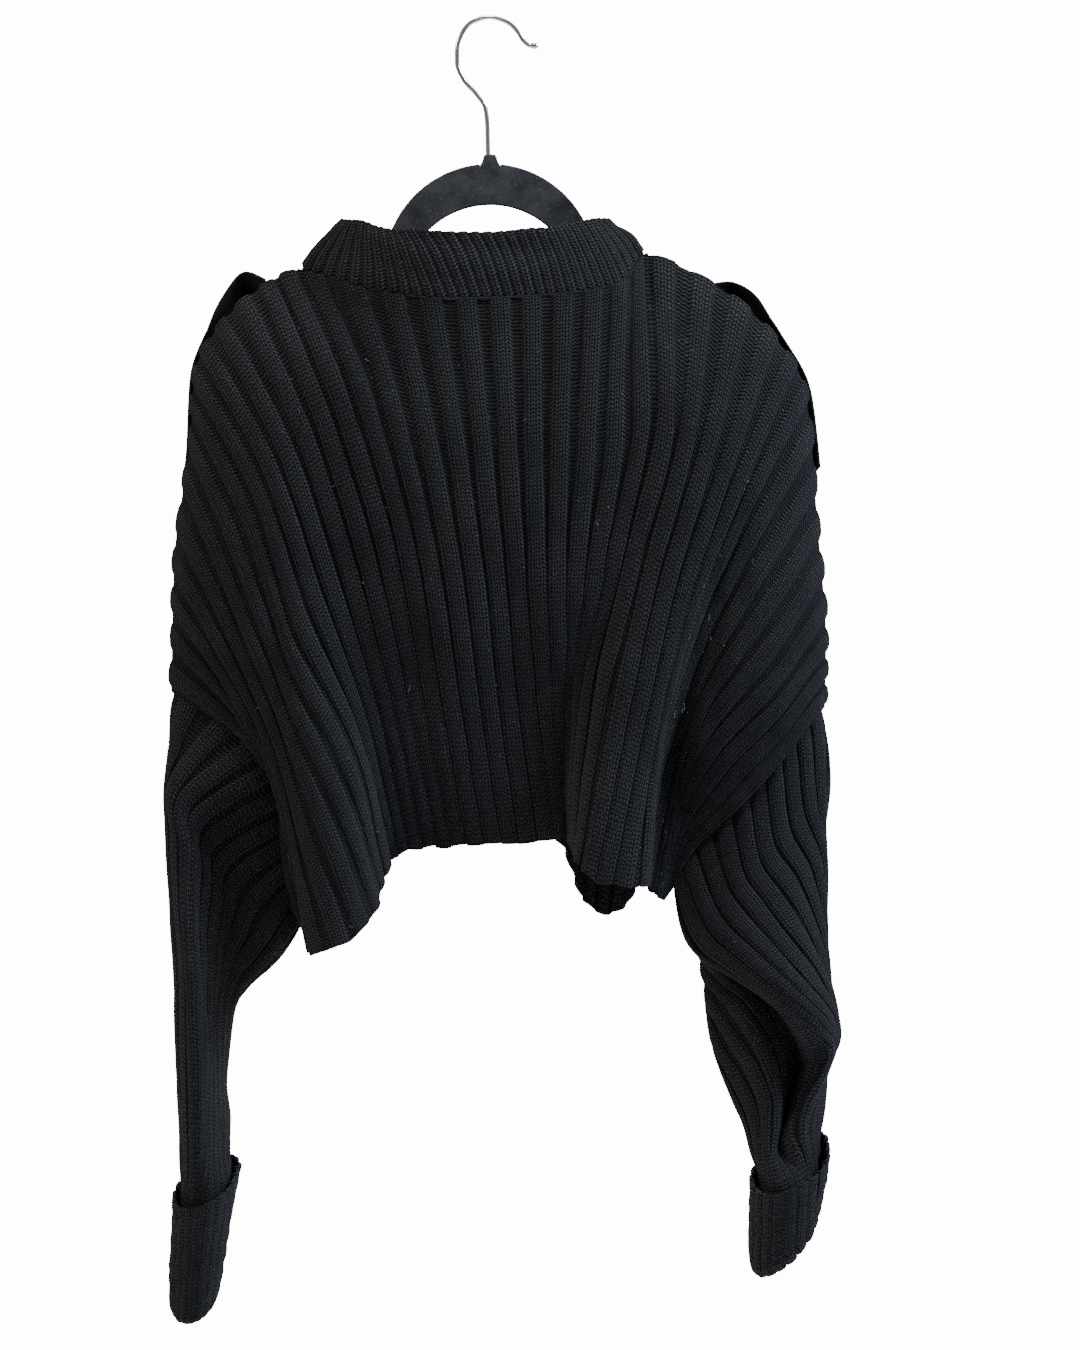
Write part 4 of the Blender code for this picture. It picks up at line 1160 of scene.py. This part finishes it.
def as_mesh(curve, name, turn=0.0):
    """Turn a curve object into a mesh piece that stands in the sweater's frame."""
    select_only(add_object(name, curve))
    bpy.ops.object.convert(target="MESH")
    piece = bpy.context.object
    piece.rotation_euler = (turn, 0, 0)
    bpy.ops.object.transform_apply(location=True, rotation=True, scale=True)
    bpy.ops.object.shade_smooth_by_angle(angle=math.radians(SHARP_CORNER))
    return piece


def make_hanger():
    """A filled outline with an opening in it, thickened and turned to face the back."""
    outer = NUB + arc(ARCH, *ARCH_SWEEP) + smooth_path([row[:2] for row in ARM], ARM_STEPS)
    inner = arc(OPENING, *OPENING_SWEEP) + smooth_path([row[2:] for row in ARM], ARM_STEPS)
    curve = bpy.data.curves.new("hanger outline", "CURVE")
    curve.dimensions = "2D"
    curve.fill_mode = "BOTH"
    curve.extrude = (HANGER_THICKNESS / 2 - HANGER_EDGE) * MM
    curve.bevel_depth = HANGER_EDGE * MM
    curve.bevel_resolution = 3
    curve.offset = -HANGER_EDGE * MM
    for outline in (outer, inner):
        add_line(curve, [(x, z, 0) for x, z in mirrored(outline)], True)
    return as_mesh(curve, "hanger_flocked", math.pi / 2)


def make_wire():
    """The bent wire, which swells into a ball over the last stretch to its tip."""
    path = smooth_path(HOOK_ROUTE, HOOK_STEPS)
    curve = bpy.data.curves.new("hook wire", "CURVE")
    curve.dimensions = "3D"
    curve.bevel_depth = WIRE / 2 * MM
    curve.bevel_resolution = 6
    curve.use_fill_caps = True
    spline = add_line(curve, [(x, 0, z) for x, z in path], False)
    count = len(path)
    for index, point in enumerate(spline.points):
        from_tip = (count - 1 - index) / HOOK_STEPS
        ball = math.sqrt(max(0.0, 1 - (from_tip * 2.2 - 0.9) ** 2)) * TIP_BALL / WIRE
        point.radius = max(ball, 1.0 if from_tip > 0.3 else 0.35)
    return as_mesh(curve, "hook_wire_bent")


# %% Flock and wire finishes


def flock_material():
    kit = Nodes("black flock", grey(0.01), 0.95, 0.1)
    where = kit.place()
    fibre = kit.noise(where, 2200, 2, 0.7)
    rubbed = kit.noise(where, 45, 6, 0.7)
    dust = kit.specks(where, 620, 2, 0.6, 0.67)
    smear = kit.specks(where, 150, 4, 0.75, 0.63)
    shade = kit.ramp(rubbed, [(0.35, (0.012, 0.012, 0.0125)), (0.7, (0.038, 0.038, 0.04))])
    shade = kit.mix(kit.math("MULTIPLY", smear, 0.25), shade, grey(0.06))
    shade = kit.mix(kit.math("MULTIPLY", dust, 0.6), shade, (0.13, 0.13, 0.125))
    return kit.finish(shade, kit.bump(fibre, 0.0004, 0.8), sheen=0.12, sheen_roughness=0.4)


def wire_material():
    kit = Nodes("bright plated wire", grey(0.78), 0.2)
    kit.feed(kit.shader["Metallic"], 1.0)
    drawn = kit.noise(kit.place(), 900, 2, 0.5)
    shade = kit.ramp(drawn, [(0.35, (0.5, 0.5, 0.51)), (0.65, (0.72, 0.72, 0.71))])
    return kit.finish(shade, kit.bump(drawn, 0.00005, 0.3))


for piece, node, slot, finish in (
    (make_hanger(), "hanger_body", "flock", flock_material()),
    (make_wire(), "hanger_hook", "hook_wire", wire_material()),
):
    piece.data.materials.clear()
    piece.data.materials.append(finish)
    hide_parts(node)
    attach(piece, "root")
    print(piece.name, len(piece.data.polygons), "faces")

# %% [markdown]
# ## Lint, loose hairs and the neck seam
# Black wool shows every pale fibre. Each one is a short bent thread, a third of a
# millimetre thick or less. A few lie about where the real back has one, and the rest are
# scattered by chance. The neck seam is a yarn that swells at each stitch it passes.

# %% Threads

HAIRS = [
    # rib, share down, length in millimetres, angle, curl, shade
    (13.2, 0.71, 9, 0.9, 1.6, "pale"),
    (15.2, 0.52, 7, 2.4, 1.2, "pale"),
    (14.4, 0.55, 6, 0.3, 2.4, "pale"),
    (15.8, 0.50, 6, 1.9, 0.6, "pale"),
    (27.1, 0.90, 7, 0.4, 2.0, "pale"),
    (29.0, 0.93, 5, 2.6, 1.0, "pale"),
    (25.6, 0.95, 6, 1.1, 1.8, "pale"),
    (30.6, 0.66, 7, 2.9, 2.2, "pale"),
    (31.4, 0.60, 5, 0.2, 1.5, "pale"),
    (20.4, 0.30, 5, 1.4, 0.8, "pale"),
    (23.2, 0.42, 4, 0.8, 1.1, "pale"),
    (9.2, 0.86, 8, 1.2, 2.6, "olive"),
    (9.4, 0.87, 7, 2.0, 1.6, "olive"),
]
SCATTERED = 170
HAIR_RADIUS = 0.16
HAIR_STEPS = 7
SEAM_POINTS = 1100  # points round the neck seam
OFF_AXIS = (0.13, 0.97, 0.2)  # a direction that few threads run in, to turn their rings by


def thread_rings(points, radii, sides):
    """Rings of points round a path, which is level or hangs down."""
    points = np.array(points, float)
    along = unit(np.gradient(points, axis=0))
    side = unit(np.cross(along, OFF_AXIS))
    up = np.cross(side, along)
    turns = np.arange(sides) * 2 * math.pi / sides
    rings = [
        points + (side * math.cos(a) + up * math.sin(a)) * np.asarray(radii)[:, None] for a in turns
    ]
    return np.stack(rings, axis=1)


def thread_mesh(name, threads, sides, closed=False):
    """One mesh of many threads, each a path and its radius at each point of the path."""
    verts = []
    faces = []
    for points, radii in threads:
        rings = thread_rings(points, radii, sides)
        start = len(verts)
        verts += (rings.reshape(-1, 3) * MM).tolist()
        count = len(rings)
        for row in range(count if closed else count - 1):
            for a in range(sides):
                b = (a + 1) % sides
                low, high = start + row * sides, start + (row + 1) % count * sides
                faces.append((low + a, low + b, high + b, high + a))
        if not closed:
            faces.append(tuple(start + a for a in range(sides))[::-1])
            faces.append(tuple(start + (count - 1) * sides + a for a in range(sides)))
    mesh = bpy.data.meshes.new(name)
    mesh.from_pydata(verts, [], faces)
    tidy = bmesh.new()
    tidy.from_mesh(mesh)
    bmesh.ops.recalc_face_normals(tidy, faces=tidy.faces)
    tidy.to_mesh(mesh)
    tidy.free()
    mesh.shade_smooth()
    piece = add_object(name, mesh)
    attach(piece, "root")
    print(name, len(threads), "threads")
    return piece


def hair_path(rib, down, length, angle, curl, lift):
    """A curled path over the back's cloth, in millimetres."""
    ribs = np.array([rib - 0.05, rib, rib + 0.05])
    downs = np.array([down - 0.005, down, down + 0.005])
    patch = panel_surface(-1, ribs, downs)
    here = patch[1, 1]
    across = unit(patch[1, 2] - patch[1, 0])
    along = unit(patch[2, 1] - patch[0, 1])
    out = unit(np.cross(along, across))
    points = [here + out * lift]
    for step in range(1, HAIR_STEPS):
        turn = angle + curl * step / HAIR_STEPS
        way = across * math.cos(turn) + along * math.sin(turn)
        rise = out * 0.5 * math.sin(math.pi * step / HAIR_STEPS)
        points.append(points[-1] + (way + rise * 0.3) * length / HAIR_STEPS)
    return points


def make_lint():
    rng = np.random.default_rng(61)
    groups = {"pale": [], "olive": []}
    for rib, down, length, angle, curl, shade in HAIRS:
        path = hair_path(rib, down, length, angle, curl, CREST + 0.5)
        groups[shade].append((path, [HAIR_RADIUS] * len(path)))
    for _ in range(SCATTERED):
        rib, down = rng.uniform(1, 38), rng.uniform(0.04, 0.98)
        length, curl = rng.uniform(1.0, 4.5), rng.uniform(-2.5, 2.5)
        path = hair_path(rib, down, length, rng.uniform(0, 3.14), curl, CREST + 0.3)
        groups["pale"].append((path, [rng.uniform(0.07, 0.14)] * len(path)))
    colours = {"pale": (0.2, 0.2, 0.19), "olive": (0.09, 0.085, 0.02)}
    for shade, threads in groups.items():
        kit = Nodes(shade + " lint", colours[shade], 0.9)
        soft = kit.ramp(
            kit.noise(kit.place(), 240, 2),
            [(0.3, tuple(c * 0.4 for c in colours[shade])), (0.7, colours[shade])],
        )
        thread_mesh("lint_" + shade, threads, 4).data.materials.append(kit.finish(soft))


def make_neck_seam():
    """A yarn laid along the neckline, a little outside it and fuller at each stitch."""
    at = np.linspace(0, COLLAR_RIBS, SEAM_POINTS, endpoint=False)
    neck = neck_ring(at)
    out = unit((neck - neck.mean(axis=0)) * np.array([1, 1, 0]))
    out[:, 1] *= 1.4
    swell = 0.5 + 0.5 * np.cos(at * 2 * math.pi)
    path = neck + out * 1.9 + np.array([0, 0, 0.8])
    seam = thread_mesh("neck_seam", [(path, 0.9 + 0.6 * swell)], 6, closed=True)
    seam.data.materials.append(SEAM_YARN)


def seam_material():
    kit = Nodes("black seam yarn", grey(0.006), 0.95, 0.05)
    fuzz = kit.noise(kit.place(), 1500, 3, 0.7)
    shade = kit.ramp(fuzz, [(0.35, grey(0.001)), (0.8, grey(0.02))])
    return kit.finish(shade, kit.bump(fuzz, 0.0008, 0.8), sheen=0.03)


SEAM_YARN = seam_material()
make_lint()
make_neck_seam()

# %% [markdown]
# ## Stage, light and camera
# The sweater hangs in front of nothing but white, so the world is white and the floor
# pale. Black cloth needs large soft lights from the sides to show its ribs.

# %% Stage

FLOOR_Z = -1.16
FLOOR_SIZE = 2.6
ROOM_LIGHT = 0.2  # how bright the room is on the sweater
PAPER_WHITE = 14.0  # how bright it looks behind the sweater
bpy.ops.object.select_all(action="DESELECT")
bpy.ops.mesh.primitive_plane_add(size=FLOOR_SIZE, location=(0.03, 0, FLOOR_Z))
floor = bpy.context.object
floor.name = "floor"
floor.data.materials.append(Nodes("pale floor", grey(0.86), 0.8).finish())

world = bpy.data.worlds.new("white room")
world.use_nodes = True
sky = world.node_tree
room_light = sky.nodes["Background"]
room_light.inputs["Color"].default_value = (1, 1, 1, 1)
room_light.inputs["Strength"].default_value = ROOM_LIGHT
paper = sky.nodes.new("ShaderNodeBackground")
paper.inputs["Color"].default_value = (1, 1, 1, 1)
paper.inputs["Strength"].default_value = PAPER_WHITE
seen = sky.nodes.new("ShaderNodeLightPath")
choice = sky.nodes.new("ShaderNodeMixShader")
sky.links.new(seen.outputs["Is Camera Ray"], choice.inputs[0])
sky.links.new(room_light.outputs[0], choice.inputs[1])
sky.links.new(paper.outputs[0], choice.inputs[2])
sky.links.new(choice.outputs[0], sky.nodes["World Output"].inputs["Surface"])
bpy.context.scene.world = world


def soft_light(name, place, aim, size, power, colour=(1, 1, 1)):
    data = bpy.data.lights.new(name, "AREA")
    data.shape = "DISK"
    data.size = size
    data.energy = power
    data.color = colour
    lamp = add_object(name, data)
    lamp.location = place
    lamp.rotation_euler = (Vector(aim) - Vector(place)).to_track_quat("-Z", "Y").to_euler()
    print(name, "light, %d W" % power)


soft_light("high right", (1.7, -0.5, 0.9), (0.15, 0, -0.5), 0.6, 135, (0.66, 0.77, 1.0))
soft_light("overhead", (0.0, -0.55, 1.4), (0.0, 0, -0.1), 0.6, 42)
soft_light("high left", (-1.7, -0.5, 0.5), (-0.15, 0, -0.35), 0.6, 30)
soft_light("behind", (0.3, 2.2, 0.8), (0.0, 0, -0.45), 1.2, 95)

# %% [markdown]
# ## Camera
# A long lens far away keeps the sleeves from looking nearer than the back. What the
# picture covers is a size at the sweater itself, so the lens follows from the distance.

# %% Camera

PICTURE = (0.7714, 0.9643)  # what the picture covers at the sweater, in metres
CENTRE = (0.0357, -0.4682)
DISTANCE = 8.0
SENSOR = 36
camera_data = bpy.data.cameras.new("camera")
camera = add_object("camera", camera_data)
camera.location = (CENTRE[0], -DISTANCE, CENTRE[1])
camera.rotation_euler = (math.pi / 2, 0, 0)
camera_data.sensor_fit = "AUTO"
camera_data.sensor_width = SENSOR
camera_data.lens = SENSOR * DISTANCE / PICTURE[1]
camera_data.clip_end = 40
bpy.context.scene.camera = camera
print("lens %.0f mm" % camera_data.lens)
